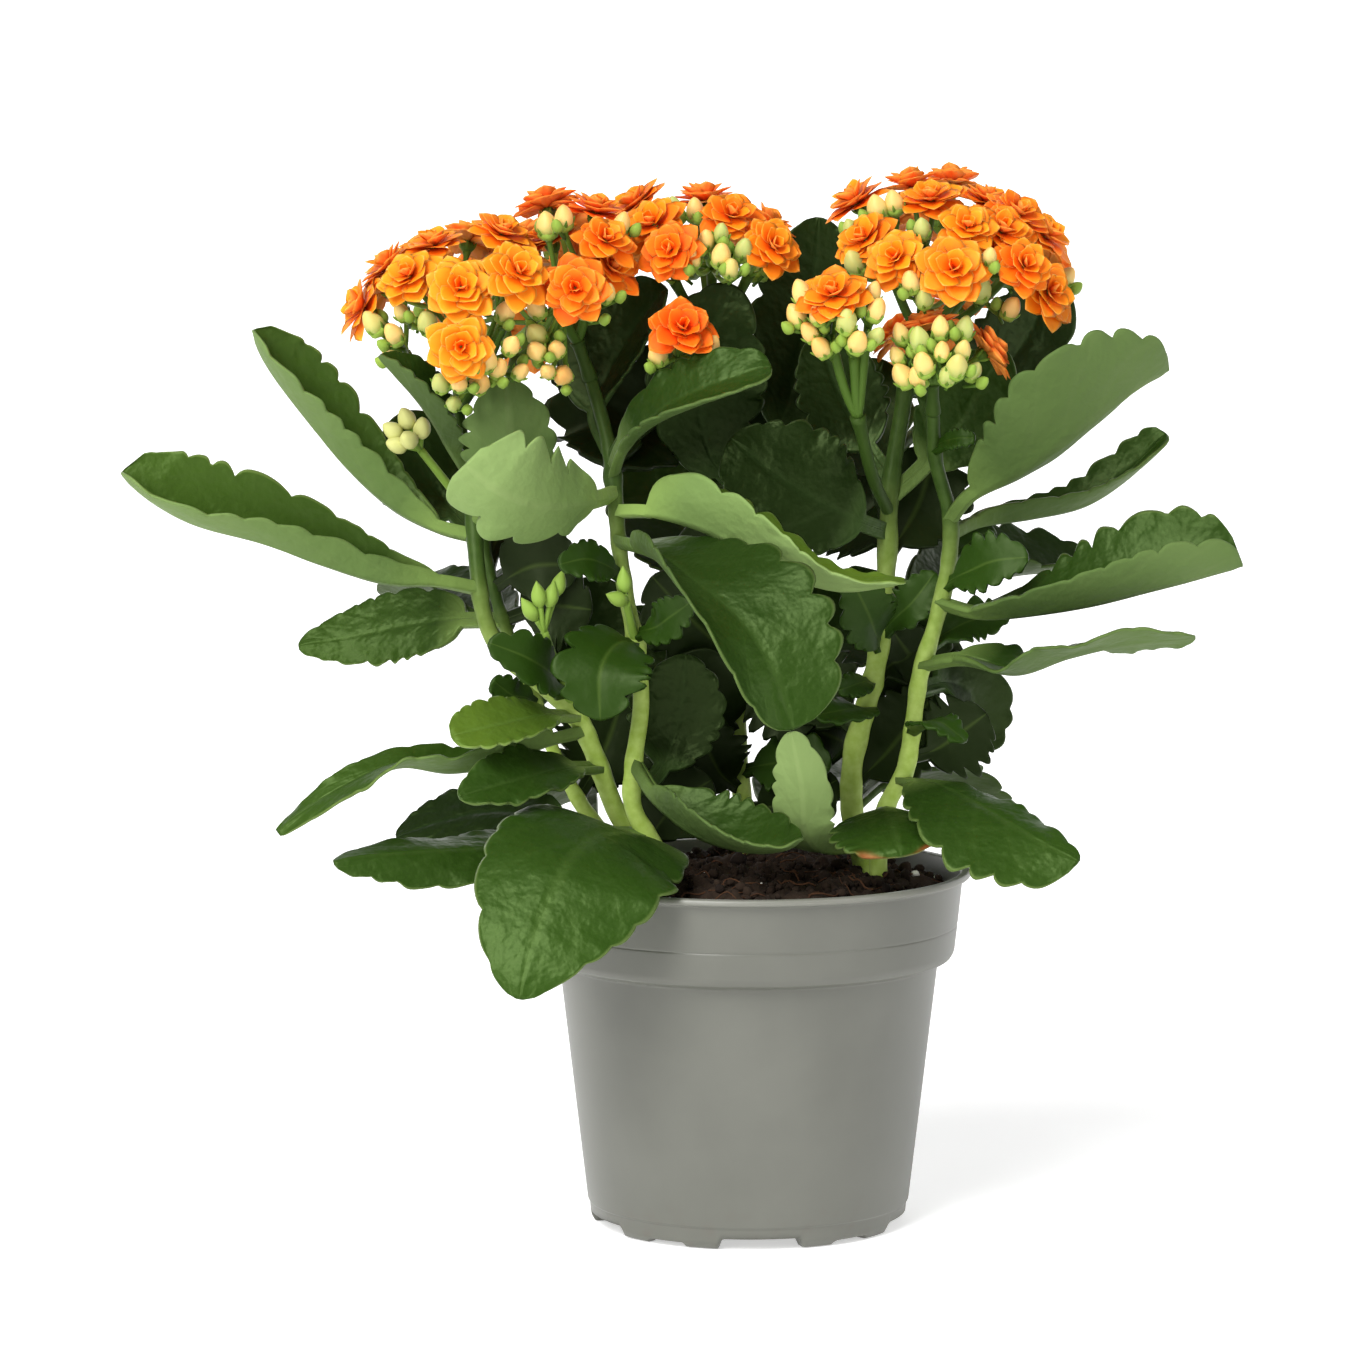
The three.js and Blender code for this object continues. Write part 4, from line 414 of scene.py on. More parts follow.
# Small leaves that are one piece with their stem: up vectors, half widths and the path's places
SMALL_LEAVES = [
    dict(stem=stem, up=up, half=half, path=path)
    for stem, rows in dict(
        stem_left=[
            ([[0, -0.7, 0.7], [0, -1, 0.3]], [7, 8], [-51, 142, -4], [-53, 148, -16], [-60, 153, -24],
             [-70, 157, -27]),
            (UPRIGHT, [9, 8], [-29, 100, 2], [-24, 108, 6], [-19, 114, 9], [-10, 120, 10]),
        ],
        stem_left_inner=[
            ([[0, -0.7, 0.7], [0, -1, 0.2]], [13, 12], [-30, 157, -6], [-36, 156, -18],
             [-40, 149, -27], [-40, 136, -30]),
            ([[0, -0.8, 0.6], [0, -1, 0.2]], [6, 6], [-30, 159, -6], [-25, 161, -14], [-21, 164, -19],
             [-15.5, 168, -22]),
            (LEANING, [6, 5.5], [-34, 174, -5], [-39, 178, -12], [-44, 179.5, -17], [-51, 178, -20]),
            (UPRIGHT, [10, 10], [-35, 203.5, -5], [-38, 214, 20], [-41, 222, 25], [-43, 240, 27]),
            (UPRIGHT, [11, 11], [-35, 203.5, -5], [-31, 212, 19], [-27, 220, 23], [-22, 238, 24]),
        ],
        stem_left_back=[
            ([[0, -0.9, 0.4], [0, -1, 0.3]], [5, 5], [-57, 140, 13], [-60, 142, 7], [-64, 143, 3],
             [-69, 147, 0]),
            (UPRIGHT, [10, 9], [-68, 172, 16], [-62, 176, 12], [-56, 178, 10], [-46, 178, 9]),
            (UPRIGHT, [9, 9], [-66, 163, 15], [-58, 166, 14], [-52, 167, 13], [-42, 166, 12]),
            (UPRIGHT, [12, 11], [-46, 115, 12], [-42, 122, 18], [-38, 130, 22], [-34, 142, 24]),
            (UPRIGHT, [10, 10], [-67, 178, 16], [-68, 184, 26], [-66, 190, 30], [-63, 203, 31]),
        ],
        stem_right=[
            ([[0, -0.6, 0.8], [0, -0.7, 0.7]], [6, 6], [31, 138, 2], [30, 139, -10], [25, 138.5, -19],
             [18, 137, -24]),
            (LEANING, [4, 4], [33, 146, 2], [30, 146, -7], [27, 145, -12], [24, 144, -16]),
            (UPRIGHT, [9, 9], [29, 132, 2], [22, 140, 8], [17, 148, 12], [12, 158, 14]),
            (LEANING, [6, 6], [35, 158, 3], [40, 164, -1], [44, 168, -3], [50, 176, -2]),
            (LEANING, [8, 8], [35, 155, 2], [33, 162, -9], [31, 167, -13], [27, 175, -15]),
            (UPRIGHT, [11, 11], [37, 180, 6], [42, 188, 12], [46, 196, 16], [50, 210, 18]),
            (UPRIGHT, [10, 9], [28, 118, 2], [36, 126, 6], [41, 132, 8], [50, 143, 9]),
            (UPRIGHT, [9, 10], [36, 164, 4], [44, 153, 12], [48, 152, 14], [58, 154, 16]),
            (UPRIGHT, [8, 8], [33, 146, 2], [38, 151, 9], [43, 154, 11], [50, 165, 12]),
            (UPRIGHT, [8, 8], [29, 129, 2], [22, 132, 23], [16, 134, 28], [6, 137, 30]),
            (UPRIGHT, [9, 9], [36, 183, 5], [31, 188, 22], [28, 192, 27], [22, 204, 29]),
        ],
        stem_right_outer=[
            ([[0, -0.1, 1], [0, -0.2, 1]], [6, 6], [44, 133, -8], [47, 135, -18], [52, 135, -26],
             [58, 130, -31]),
            (LEANING, [8, 7], [53, 172, -8], [59, 176, -16], [66, 179, -21], [75, 180, -24]),
            (LEANING, [5, 5], [54, 180, -8], [58, 183, 0], [62, 186, 5], [66, 187, 9]),
            (LEANING, [3, 3], [50, 209, -13], [53, 211, -18], [56, 212, -21], [60.5, 212, -23]),
            (UPRIGHT, [9, 9], [43, 126, -8], [50, 128, -5], [56, 132, -4], [64, 138, -4]),
            (LEANING, [6, 6], [48, 156, -8], [54, 160, -3], [60, 163, 0], [70, 165, 2]),
        ],
        stem_back=[
            (UPRIGHT, [10, 10], [-2, 150, 28], [-10, 158, 21], [-17, 165, 15], [-26, 175, 11]),
            (LEANING, [9, 9], [-3, 122, 27], [6, 124, 20], [14, 125, 14], [22, 123, 10]),
            (UPRIGHT, [11, 11], [-3, 132, 27], [-8, 138, 20], [-12, 144, 17], [-18, 154, 15]),
            (UPRIGHT, [11, 10], [-1, 170, 28], [-6, 176, 22], [-11, 180, 18], [-20, 184, 15]),
            (UPRIGHT, [8, 8], [-1, 112, 26], [8, 113, 19], [14, 115, 16], [24, 120, 14]),
            (UPRIGHT, [9, 9], [-2, 150, 28], [5, 145, 20], [10, 141, 17], [19, 136, 15]),
            (UPRIGHT, [13, 12], [0, 194, 28], [5, 203, 37], [9, 211, 41], [11, 226, 42]),
            (UPRIGHT, [7, 8], [-3, 117, 27], [-7, 121, 20], [-10, 126, 18], [-14, 135, 17]),
        ],
    ).items()
    for up, half, *path in rows
]

# Young shoots: a short stalk from a place on its stem to a second place, with its tight buds
SHOOTS = [
    dict(
        stem="stem_left", start=[-47, 139, -4], end=[-55, 160, -15],
        buds=[[-59, 166, -16], [-56.5, 170, -17], [-53, 170, -15], [-51, 173, -13]],
    ),
    dict(
        stem="stem_left_inner", start=[-30, 156, -6], end=[-33, 168, -13],
        buds=[[-33.5, 174, -14], [-35.5, 169, -15]],
    ),
    dict(
        stem="stem_left_back", start=[-71, 188, 19], end=[-88, 209, 10],
        buds=[[-92, 218, 8], [-96, 214.5, 7], [-87.5, 215.5, 7], [-91.5, 212, 3], [-95, 210.5, 6]],
    ),
]

# Flower heads: blooms and buds stand out from the centre, each on a thin stalk from its nearest fork
HEADS = [
    dict(
        name="head_left", stem="stem_left",
        centre=[-78, 236, 0], stalk=[[-78, 220, 0]],
        forks=[[-92, 235, 0], [-77, 238, -10], [-66, 242, -4], [-78, 246, 8], [-71, 234, -16]],
        blooms=[
            [-103, 247, -6], [-90.5, 255, -18], [-84, 263.5, -6], [-77, 252, -33], [-77, 236.5, -38],
            [-66, 266.5, -12], [-62, 256, -31], [-75, 265, 10], [-97, 252, 12], [-88, 258, 26],
            [-68, 262, 27], [-80, 246, 36], [-62, 261, 12], [-96, 258, -2],
        ],
        buds=[
            [-100.5, 243, -14], [-95, 240, -18], [-96, 236, -12], [-93, 246, -16], [-86, 243, -20],
            [-82.5, 227, -30], [-77.5, 227, -34], [-79, 221.5, -26], [-72, 227, -30], [-67, 231, -30],
            [-63.5, 237, -32], [-61, 230, -26], [-70, 233, -34], [-65, 246, -26], [-100, 244, 10],
            [-90, 244, 32], [-70, 250, 34],
        ],
    ),
    dict(
        name="head_left_inner", stem="stem_left_inner",
        centre=[-47, 246, 0], stalk=[[-46, 238, 3]],
        forks=[[-50, 248, -8], [-42, 254, -2], [-52, 256, 4], [-47, 253, 24]],
        blooms=[
            [-53, 265, -2], [-46.5, 252, -29], [-37, 257, -14], [-54, 274, 6], [-41, 272.5, -2],
            [-38.5, 264.5, -18], [-50, 268, 22], [-36, 263, 20], [-46, 258, 32],
        ],
        buds=[
            [-54, 269, -14], [-49.5, 271, -16], [-38, 251, -22], [-42, 246, -24], [-57, 240, -20],
            [-57, 235.5, -24], [-51.5, 236, -22], [-54, 230, -22], [-50, 229, -18], [-57, 247, -18],
            [-34, 269.5, -10], [-58, 258, 20],
        ],
    ),
    dict(
        name="head_middle", stem="stem_back",
        centre=[-11, 248, 20], stalk=[[-10, 242, 20]],
        forks=[[-20, 254, 14], [-10, 258, 12], [0, 256, 14], [-12, 258, 26]],
        blooms=[
            [-30, 274, 14], [-25.5, 269, -2], [-21, 262, -12], [-12, 275.5, 20], [-5, 271, 0],
            [6, 263, -4], [4, 269, 20], [-24, 264, 36], [-8, 267, 40],
        ],
        buds=[
            [-20, 273, 6], [-14.5, 273, 4], [-11.5, 265, -8], [-7.5, 267, -8], [-7.5, 261, -12],
            [-1.5, 262.5, -8], [-5, 257.5, -14], [-15, 260, -12], [4, 258, 28], [-16, 258, 40],
        ],
    ),
    dict(
        name="head_right", stem="stem_right",
        centre=[52, 240, 10], stalk=[[46, 240, 8]],
        forks=[[38, 256, 0], [46, 260, 6], [58, 256, -4], [68, 255, 2], [46, 254, 20], [62, 258, 22]],
        blooms=[
            [28.5, 275, 4], [31, 265, -14], [39, 260, -26], [43, 279, 14], [48.5, 275.5, -6],
            [58, 268, -22], [54.5, 257, -31], [63, 275, 6], [73, 258, -22], [78.5, 266, -2],
            [71, 271.5, -8], [54, 280, 24], [79.5, 251, -14], [36, 268, 28], [50, 270, 40],
            [66, 266, 36], [80, 258, 22], [58, 254, 46], [67, 267, -16], [72, 270, 20],
        ],
        buds=[
            [34, 273.5, -8], [38.5, 275, -8], [46, 268, -22], [64, 260.5, -28], [28, 259, -18],
            [43, 254, -30], [46.5, 249.5, -28], [27, 268, -8], [62, 252, -20], [70, 247, -16],
            [84.5, 255, 6], [42, 258, 38], [72, 256, 38],
        ],
    ),
    dict(
        name="head_small", stem="stem_right", root=[38, 192, 6],
        centre=[25, 238, -24], stalk=[[33, 202, -10], [29, 218, -22]],
        forks=[[28, 234, -26], [22, 238, -26], [31, 238, -26]],
        blooms=[[22.5, 250, -34]],
        buds=[
            [14, 251, -30], [12.5, 245, -30], [16, 240.5, -32], [18, 245, -35], [26, 243.5, -39],
            [34, 246.5, -35], [33, 251, -29], [34, 239.5, -35], [29, 238, -38], [19, 236.5, -33],
        ],
    ),
    dict(
        name="head_buds", stem="stem_right_outer",
        centre=[51, 226, -22], stalk=[[49, 227, -24]],
        forks=[[46, 231, -26], [52, 233, -26], [56, 231, -25]],
        blooms=[[47, 241, -18], [63.5, 235.5, -20]],
        buds=[
            [45.5, 238.5, -34], [57.5, 241.5, -30], [57, 235.5, -34], [51.5, 235.5, -38],
            [46.5, 232, -37], [51, 241.5, -32], [40.5, 240, -27], [39.5, 234, -29], [41, 229, -30],
            [45, 228.5, -34], [53, 229, -36], [60, 230, -30], [55.5, 231.5, -38],
        ],
    ),
    dict(
        name="head_single", stem="stem_left_inner", root=[-37, 206, -1],
        centre=[-20, 232, -6], stalk=[[-29, 220, -9], [-22, 228, -10]],
        forks=[[-19, 234, -11]],
        blooms=[[-18, 241, -19]],
        buds=[[-10.5, 236.5, -16], [-24.5, 234.5, -17]],
    ),
    dict(
        name="head_rear_left", stem="stem_left_back",
        centre=[-58, 239, 52], stalk=[[-69, 209, 30], [-62, 233, 44]],
        forks=[[-66, 245, 50], [-52, 245, 50], [-58, 243, 62]],
        blooms=[
            [-60, 265, 56], [-76, 256, 58], [-44, 257, 58], [-66, 253, 74], [-48, 251, 76], [-80, 243, 66],
            [-58, 239, 82],
        ],
        buds=[
            [-70, 263, 62], [-52, 262, 66], [-74, 249, 76], [-42, 247, 70], [-67, 241, 82], [-48, 240, 80],
        ],
    ),
    dict(
        name="head_rear_right", stem="stem_right", root=[40, 208, 8],
        centre=[54, 222, 54], stalk=[[47, 216, 26], [52, 220, 42]],
        forks=[[46, 228, 52], [62, 228, 52], [54, 226, 64]],
        blooms=[[56, 248, 58], [40, 240, 60], [71, 240, 60], [48, 236, 77], [64, 234, 77], [55, 222, 84]],
        buds=[[48, 247, 66], [77, 227, 68], [38, 230, 70], [72, 230, 80]],
    ),
]

# How light each leaf's green is, as painted light and shade: from 0 for those in the shade of the dark
# middle to 1 for pale lit ones, and 0.4 where not given
LEAF_LIGHT_AND_SHADE = dict(
    far_left=0.6, upper_left=0.6, lower_left=0.55, front_left=0.5, low_left=0.4, long_left=0.55,
    pale_left=0.9, pale_front=0.85, left_upright=0.5, centre=0.36, front_centre=0.34, pale_right=0.95,
    right_upper=0.4, far_right=0.42, wavy_right=0.42, front_right=0.46, on_soil=0.45, upright_pale=1,
    dark_centre=0.06, left_inner=0.05, right_grey=0.35, thin_left=0.3,
)
# Leaves behind and at the back get painted shade: the darkest tone, or a dark one
for name in [row["name"] for row in LEAVES]:
    if "back" in name or "behind" in name:
        LEAF_LIGHT_AND_SHADE[name] = 0.03
    elif "rear" in name:
        LEAF_LIGHT_AND_SHADE[name] = 0.15

# Leaves whose scallops differ: how many there are on each side, and their depth against the others'
SCALLOPS = dict(pale_front=(4, 2.5), front_left=(8, 0.6), left_upright=(6, 1.3))

# Where a leaf is torn brown: its share of the way to the tip, and of the way to the rim. NO_SCAR lies far
# past the tip
SCARS = dict(on_soil=(0.93, 0.9))
NO_SCAR = (9, 1)

# How yellow the blooms of each head are, from 0 for deep orange-red to 1: painted light, yellower on the
# lit heads and redder on those in shade
HEAD_LIGHT_AND_SHADE = dict(
    head_left=0.75, head_right=0.55, head_small=0.65, head_left_inner=0.35, head_middle=0.3,
    head_single=0.05, head_buds=0.05,
)

# Materials, all made from the pieces' own named numbers and from Object coordinates

class Look:
    """A Principled material whose nodes are added one by one."""

    def __init__(self, name, **uniform):
        self.material = bpy.data.materials.new(name)
        self.material.use_nodes = True
        self.tree = self.material.node_tree
        self.shader = self.tree.nodes["Principled BSDF"]
        for socket, value in uniform.items():
            self.shader.inputs[socket.replace("_", " ")].default_value = value

    def node(self, kind, **settings):
        """A new node with its settings."""
        made = self.tree.nodes.new(kind)
        for name, value in settings.items():
            setattr(made, name, value)
        return made

    def link(self, source, target):
        self.tree.links.new(source, target)

    def number(self, name):
        """One of the piece's own named numbers."""
        return self.node("ShaderNodeAttribute", attribute_name=name).outputs["Fac"]

    def noise(self, size, detail):
        """Noise on Object coordinates with features of about the given size in millimetres."""
        made = self.node("ShaderNodeTexNoise")
        made.inputs["Scale"].default_value = 1000 / size
        made.inputs["Detail"].default_value = detail
        self.link(self.node("ShaderNodeTexCoord").outputs["Object"], made.inputs["Vector"])
        return made.outputs["Fac"]

    def ramp(self, value, *stops):
        """Colour by a number, from stops of (number, colour), or of (number, level) for a grey."""
        made = self.node("ShaderNodeValToRGB")
        marks = made.color_ramp.elements
        while len(marks) < len(stops):
            marks.new(0.5)
        for mark, (place, colour) in zip(marks, stops):
            mark.position = place
            mark.color = (*np.broadcast_to(colour, 3), 1)
        self.link(value, made.inputs["Fac"])
        return made.outputs["Color"]

    def blend(self, share, a, b, way="MIX"):
        """Colour b over colour a, by a share from 0 to 1, each a socket or a colour."""
        made = self.node("ShaderNodeMix", data_type="RGBA", blend_type=way)
        for source, number in ((share, 0), (a, 6), (b, 7)):
            self.give(source, made.inputs[number])
        return made.outputs[2]

    def sum(self, kind, a, b):
        """A sum on two numbers, such as MULTIPLY or ADD, kept from 0 to 1."""
        made = self.node("ShaderNodeMath", operation=kind, use_clamp=True)
        self.give(a, made.inputs[0])
        self.give(b, made.inputs[1])
        return made.outputs[0]

    def times(self, a, b):
        return self.sum("MULTIPLY", a, b)

    def give(self, source, target):
        """Links a socket to a node's input, or sets the input to a number or a colour."""
        if isinstance(source, bpy.types.NodeSocket):
            self.link(source, target)
        else:
            target.default_value = (*source, 1) if isinstance(source, tuple) else source

    def bump(self, height, strength, distance):
        """Bumps of the given height in millimetres."""
        made = self.node("ShaderNodeBump")
        made.inputs["Strength"].default_value = strength
        made.inputs["Distance"].default_value = distance / 1000
        self.link(height, made.inputs["Height"])
        self.link(made.outputs["Normal"], self.shader.inputs["Normal"])

    def colour(self, source):
        self.give(source, self.shader.inputs["Base Color"])

    def roughness(self, source):
        self.give(source, self.shader.inputs["Roughness"])


def leaf_look():
    """Dark waxy green on top, pale matt green below, with paler veins and a rim that is partly a painted
    highlight, and a puckered skin. The tone paints each leaf's light and shade, and the blade is painted
    darker towards its stalk as shade.
    """
    look = Look("leaf_skin", Specular_IOR_Level=0.3, Specular_Tint=(0.7, 1, 0.38, 1))
    face, rib, tone = look.number("face"), look.number("rib"), look.number("tone")
    patches, pucker = look.noise(16, 2), look.noise(5, 2)
    grain, speckle = look.noise(1.6, 3), look.noise(0.7, 2)
    mottle = look.times(patches, 0.5)
    # Painted light and shade: lit and shaded copies of each green, chosen by the leaf's tone
    top = look.ramp(
        tone, (0, (0.004, 0.01, 0.001)), (0.5, (0.014, 0.045, 0.002)), (1, (0.09, 0.15, 0.01)),
    )
    top = look.blend(mottle, top, look.blend(tone, (0.005, 0.013, 0.001), (0.052, 0.118, 0.01)))
    below = look.ramp(
        tone, (0, (0.012, 0.022, 0.004)), (0.5, (0.095, 0.16, 0.042)), (1, (0.26, 0.375, 0.125)),
    )
    below = look.blend(mottle, below, look.blend(tone, (0.016, 0.03, 0.006), (0.285, 0.39, 0.14)))
    rib_line = look.ramp(rib, (0, 1), (0.035, 0.75), (0.1, 0))
    side_line = look.ramp(look.sum("PINGPONG", look.number("vein"), 0.5), (0, 1), (0.16, 0))
    on_rib = look.blend(0.3, rib_line, side_line, "ADD")
    share = look.times(on_rib, 0.28)
    top = look.blend(share, top, look.blend(tone, (0.012, 0.03, 0.008), (0.12, 0.21, 0.04)))
    below = look.blend(share, below, look.blend(tone, (0.03, 0.05, 0.015), (0.34, 0.44, 0.17)))
    # A pale rim, partly the leaf's own margin and partly a painted highlight
    on_rim = look.ramp(rib, (0, 0), (0.955, 0), (0.985, 0.8), (1, 1))
    rim_and_highlight_green = look.blend(tone, (0.04, 0.07, 0.02), (0.28, 0.38, 0.1))
    top = look.blend(look.times(on_rim, 0.65), top, rim_and_highlight_green)
    skin = look.blend(look.ramp(face, (0, 0), (0.42, 0), (0.58, 1)), below, top)
    blade = look.number("blade")
    # Painted shade: the blade darkens towards its stalk, in the plant's shaded middle
    stalk_shade = look.ramp(blade, (0, (0.5, 0.56, 0.45)), (0.35, (0.72, 0.76, 0.68)), (0.8, 1))
    skin = look.blend(1.0, skin, stalk_shade, "MULTIPLY")
    stalk = look.ramp(blade, (0, 1), (0.02, 0.8), (0.16, 0))
    stalk_green = look.blend(tone, (0.04, 0.08, 0.02), (0.26, 0.38, 0.09))
    skin = look.blend(look.times(stalk, 0.7), skin, stalk_green)
    dusted = look.blend(tone, (0.02, 0.035, 0.012), (0.2, 0.28, 0.1))
    skin = look.blend(look.times(grain, 0.1), skin, dusted)
    look.colour(look.blend(look.times(look.number("scar"), 0.8), skin, (0.32, 0.06, 0.025)))
    waxy = look.ramp(face, (0, 0.6), (0.45, 0.58), (0.6, 0.33))
    look.roughness(look.blend(look.times(speckle, 0.4), waxy, (0.6, 0.6, 0.6)))
    raised = look.sum("ADD", look.times(grain, 0.12), look.times(pucker, 0.75))
    look.bump(look.sum("SUBTRACT", raised, look.times(on_rib, 0.12)), 0.8, 1.2)
    return look.material


def stem_look():
    """Light yellow-green stems, darker toward their tops as painted shade, with small leaves of a darker
    green, the upright ones painted near black as shade.
    """
    look = Look("stem_skin", Roughness=0.45, Specular_IOR_Level=0.25, Specular_Tint=(0.82, 1, 0.55, 1))
    streaks = look.noise(3.2, 3)
    tone = look.number("tone")
    height = look.number("height")
    low = look.ramp(streaks, (0.3, (0.31, 0.44, 0.07)), (0.7, (0.46, 0.6, 0.15)))
    # Painted shade: the stems' tops, in the shade of the leaves and heads, are nearly black-green
    high = look.ramp(streaks, (0.3, (0.026, 0.055, 0.008)), (0.7, (0.042, 0.08, 0.014)))
    stem = look.blend(look.ramp(height, (0.45, 0), (0.8, 1)), low, high)
    # Small leaves by tone: 0.1 is near black, painted shade on the upright fillers in the middle; 0.85 is
    # the deep green of the others and 0.92 to 1 the young shoots
    young = look.ramp(
        tone, (0, (0.2, 0.32, 0.06)), (0.1, (0.004, 0.01, 0.001)),
        (0.85, (0.013, 0.038, 0.002)), (0.92, (0.15, 0.26, 0.035)),
        (0.97, (0.24, 0.38, 0.06)), (1, (0.6, 0.6, 0.22)),
    )
    on_rib = look.ramp(look.number("rib"), (0, 1), (0.08, 0))
    young = look.blend(look.times(on_rib, 0.2), young, (0.14, 0.22, 0.04))
    look.colour(look.blend(look.ramp(tone, (0, 0), (0.08, 1)), stem, young))
    raised = look.sum("ADD", look.times(streaks, 0.3), look.times(look.noise(5, 2), 0.6))
    look.bump(raised, 0.6, 0.7)
    return look.material


def stalk_look():
    """Green to yellow-green pedicels and sepals, by the tone of each. The darkest greens, tone 0 and 0.2,
    are painted shade on the head stalks and branches.
    """
    look = Look("stalk_skin", Roughness=0.5, Specular_IOR_Level=0.25, Specular_Tint=(0.85, 1, 0.5, 1))
    look.colour(look.ramp(
        look.number("tone"), (0, (0.03, 0.062, 0.009)), (0.3, (0.07, 0.14, 0.018)),
        (0.5, (0.14, 0.25, 0.03)), (0.8, (0.27, 0.4, 0.06)), (1, (0.4, 0.5, 0.11)),
    ))
    return look.material


def petal_look():
    """Orange, redder towards the foot and underneath, with a thin pale rim. The red foot is partly painted
    shade between the petals, and glow blends a shaded red-orange into a lit yellow-orange as painted
    light.
    """
    look = Look(
        "petal_skin", Roughness=0.55, Specular_IOR_Level=0.18,
        Subsurface_Weight=0.08, Subsurface_Scale=0.001, Subsurface_Radius=(1.0, 0.3, 0.03),
    )
    along, glow, face = look.number("along"), look.number("glow"), look.number("face")
    # Shaded and lit copies of the orange, blended by glow: painted light and shade; the deep red at the
    # foot is partly painted shade in the crevices
    shaded_orange = look.ramp(
        along, (0, (0.5, 0.012, 0.001)), (0.45, (0.88, 0.075, 0.002)),
        (0.88, (1, 0.15, 0.004)), (1, (1, 0.32, 0.04)),
    )
    lit_orange = look.ramp(
        along, (0, (0.75, 0.06, 0.002)), (0.45, (1, 0.24, 0.005)),
        (0.88, (1, 0.35, 0.012)), (1, (1, 0.52, 0.1)),
    )
    top = look.blend(glow, shaded_orange, lit_orange)
    on_rim = look.ramp(face, (0.46, 0), (0.5, 0.75), (0.64, 0))
    top = look.blend(on_rim, top, look.blend(glow, (1, 0.3, 0.05), (1, 0.52, 0.1)))
    below = look.ramp(along, (0, (0.85, 0.25, 0.04)), (1, (0.95, 0.3, 0.05)))
    look.colour(look.blend(look.ramp(face, (0.3, 0), (0.52, 1)), below, top))
    return look.material


def bud_look():
    """Cream-yellow, green at the foot, with a warm blush at the tip and along the four seams."""
    look = Look("bud_skin", Roughness=0.5, Subsurface_Weight=0.15, Subsurface_Scale=0.002)
    along, seam, glow = look.number("along"), look.number("seam"), look.number("glow")
    cream = look.ramp(
        along, (0, (0.2, 0.33, 0.05)), (0.3, (0.5, 0.52, 0.12)),
        (0.55, (0.85, 0.6, 0.19)), (1, (0.93, 0.55, 0.15)),
    )
    ripe = look.ramp(along, (0, (0.3, 0.36, 0.08)), (0.3, (0.85, 0.58, 0.2)), (1, (0.95, 0.45, 0.1)))
    skin = look.blend(look.sum("POWER", glow, 3.0), cream, ripe)
    skin = look.blend(look.ramp(glow, (0.14, 0.85), (0.3, 0)), skin, (0.4, 0.5, 0.13))
    line = look.ramp(seam, (0, 1), (0.22, 0))
    look.colour(look.blend(look.times(line, 0.6), skin, (0.62, 0.3, 0.05)))
    return look.material


def pot_look():
    """Warm grey satin plastic, faintly cloudy and dusty, with a paler painted highlight round the lip, and
    marked near the foot.
    """
    look = Look("pot_plastic", Specular_IOR_Level=0.5)
    clouds = look.noise(30, 4)
    dust = look.noise(4, 5)
    height = look.number("height")
    grey = look.ramp(clouds, (0.35, (0.118, 0.12, 0.1)), (0.65, (0.136, 0.138, 0.116)))
    # Painted highlight: a paler grey round the top of the lip
    lip_highlight = look.ramp(height, (0.974, 0), (0.99, 0.5))
    grey = look.blend(lip_highlight, grey, (0.25, 0.25, 0.215))
    low = look.ramp(height, (0, 0.5), (0.16, 0))
    marks = look.times(low, look.ramp(dust, (0.5, 0), (0.72, 1)))
    look.colour(look.blend(marks, grey, (0.12, 0.105, 0.085)))
    look.roughness(look.ramp(clouds, (0.3, 0.34), (0.7, 0.42)))
    look.bump(dust, 0.12, 0.12)
    return look.material


def soil_look():
    """Black-brown peat with reddish fibres and white grains, by the kind of each crumb."""
    look = Look("peat", Roughness=0.95, Specular_IOR_Level=0.2)
    shade = look.times(look.sum("ADD", look.number("shade"), look.noise(2.2, 4)), 0.55)
    peat = look.ramp(
        shade, (0.2, (0.008, 0.005, 0.004)), (0.6, (0.03, 0.018, 0.011)), (1, (0.075, 0.04, 0.02)),
    )
    fibre = look.ramp(shade, (0.1, (0.035, 0.014, 0.007)), (0.9, (0.12, 0.055, 0.025)))
    kind = look.number("kind")
    peat = look.blend(look.ramp(kind, (0.2, 0), (0.4, 1)), peat, fibre)
    look.colour(look.blend(look.ramp(kind, (0.7, 0), (0.9, 1)), peat, (0.7, 0.68, 0.62)))
    look.bump(look.noise(0.8, 3), 0.7, 0.5)
    return look.material


LEAF = leaf_look()
STEM = stem_look()
STALK = stalk_look()
PETAL = petal_look()
BUD = bud_look()
POT = pot_look()
SOIL = soil_look()


# Curves and grids

def seen(places):
    """Real places of points given as they show: each is moved along its sight line to its depth."""
    x, z, depth = np.asarray(places, float).reshape(-1, 3).T
    stretch = (EYE_DISTANCE + depth) / EYE_DISTANCE
    return np.stack([EYE_X + (x - EYE_X) * stretch, depth, EYE_HEIGHT + (z - EYE_HEIGHT) * stretch], 1)


def unit(vectors):
    """Vectors divided by their own lengths."""
    vectors = np.asarray(vectors, float)
    return vectors / np.maximum(np.linalg.norm(vectors, axis=-1, keepdims=True), 1e-9)


def ease(low, high, value):
    """Smooth step: 0 below low, 1 above high and 3t^2 - 2t^3 between."""
    t = np.clip((value - low) / (high - low), 0, 1)
    return t * t * (3 - 2 * t)


def mix(a, b, t):
    """Straight blend: a where t is 0 and b where t is 1."""
    return a + (b - a) * t


def nearest(points, place):
    """The one of the points that is nearest to a place."""
    return points[np.argmin(np.linalg.norm(points - place, axis=1))]


def placed(name, data):
    """A new object of the scene that holds a mesh, lamp or camera."""
    thing = bpy.data.objects.new(name, data)
    bpy.context.scene.collection.objects.link(thing)
    return thing


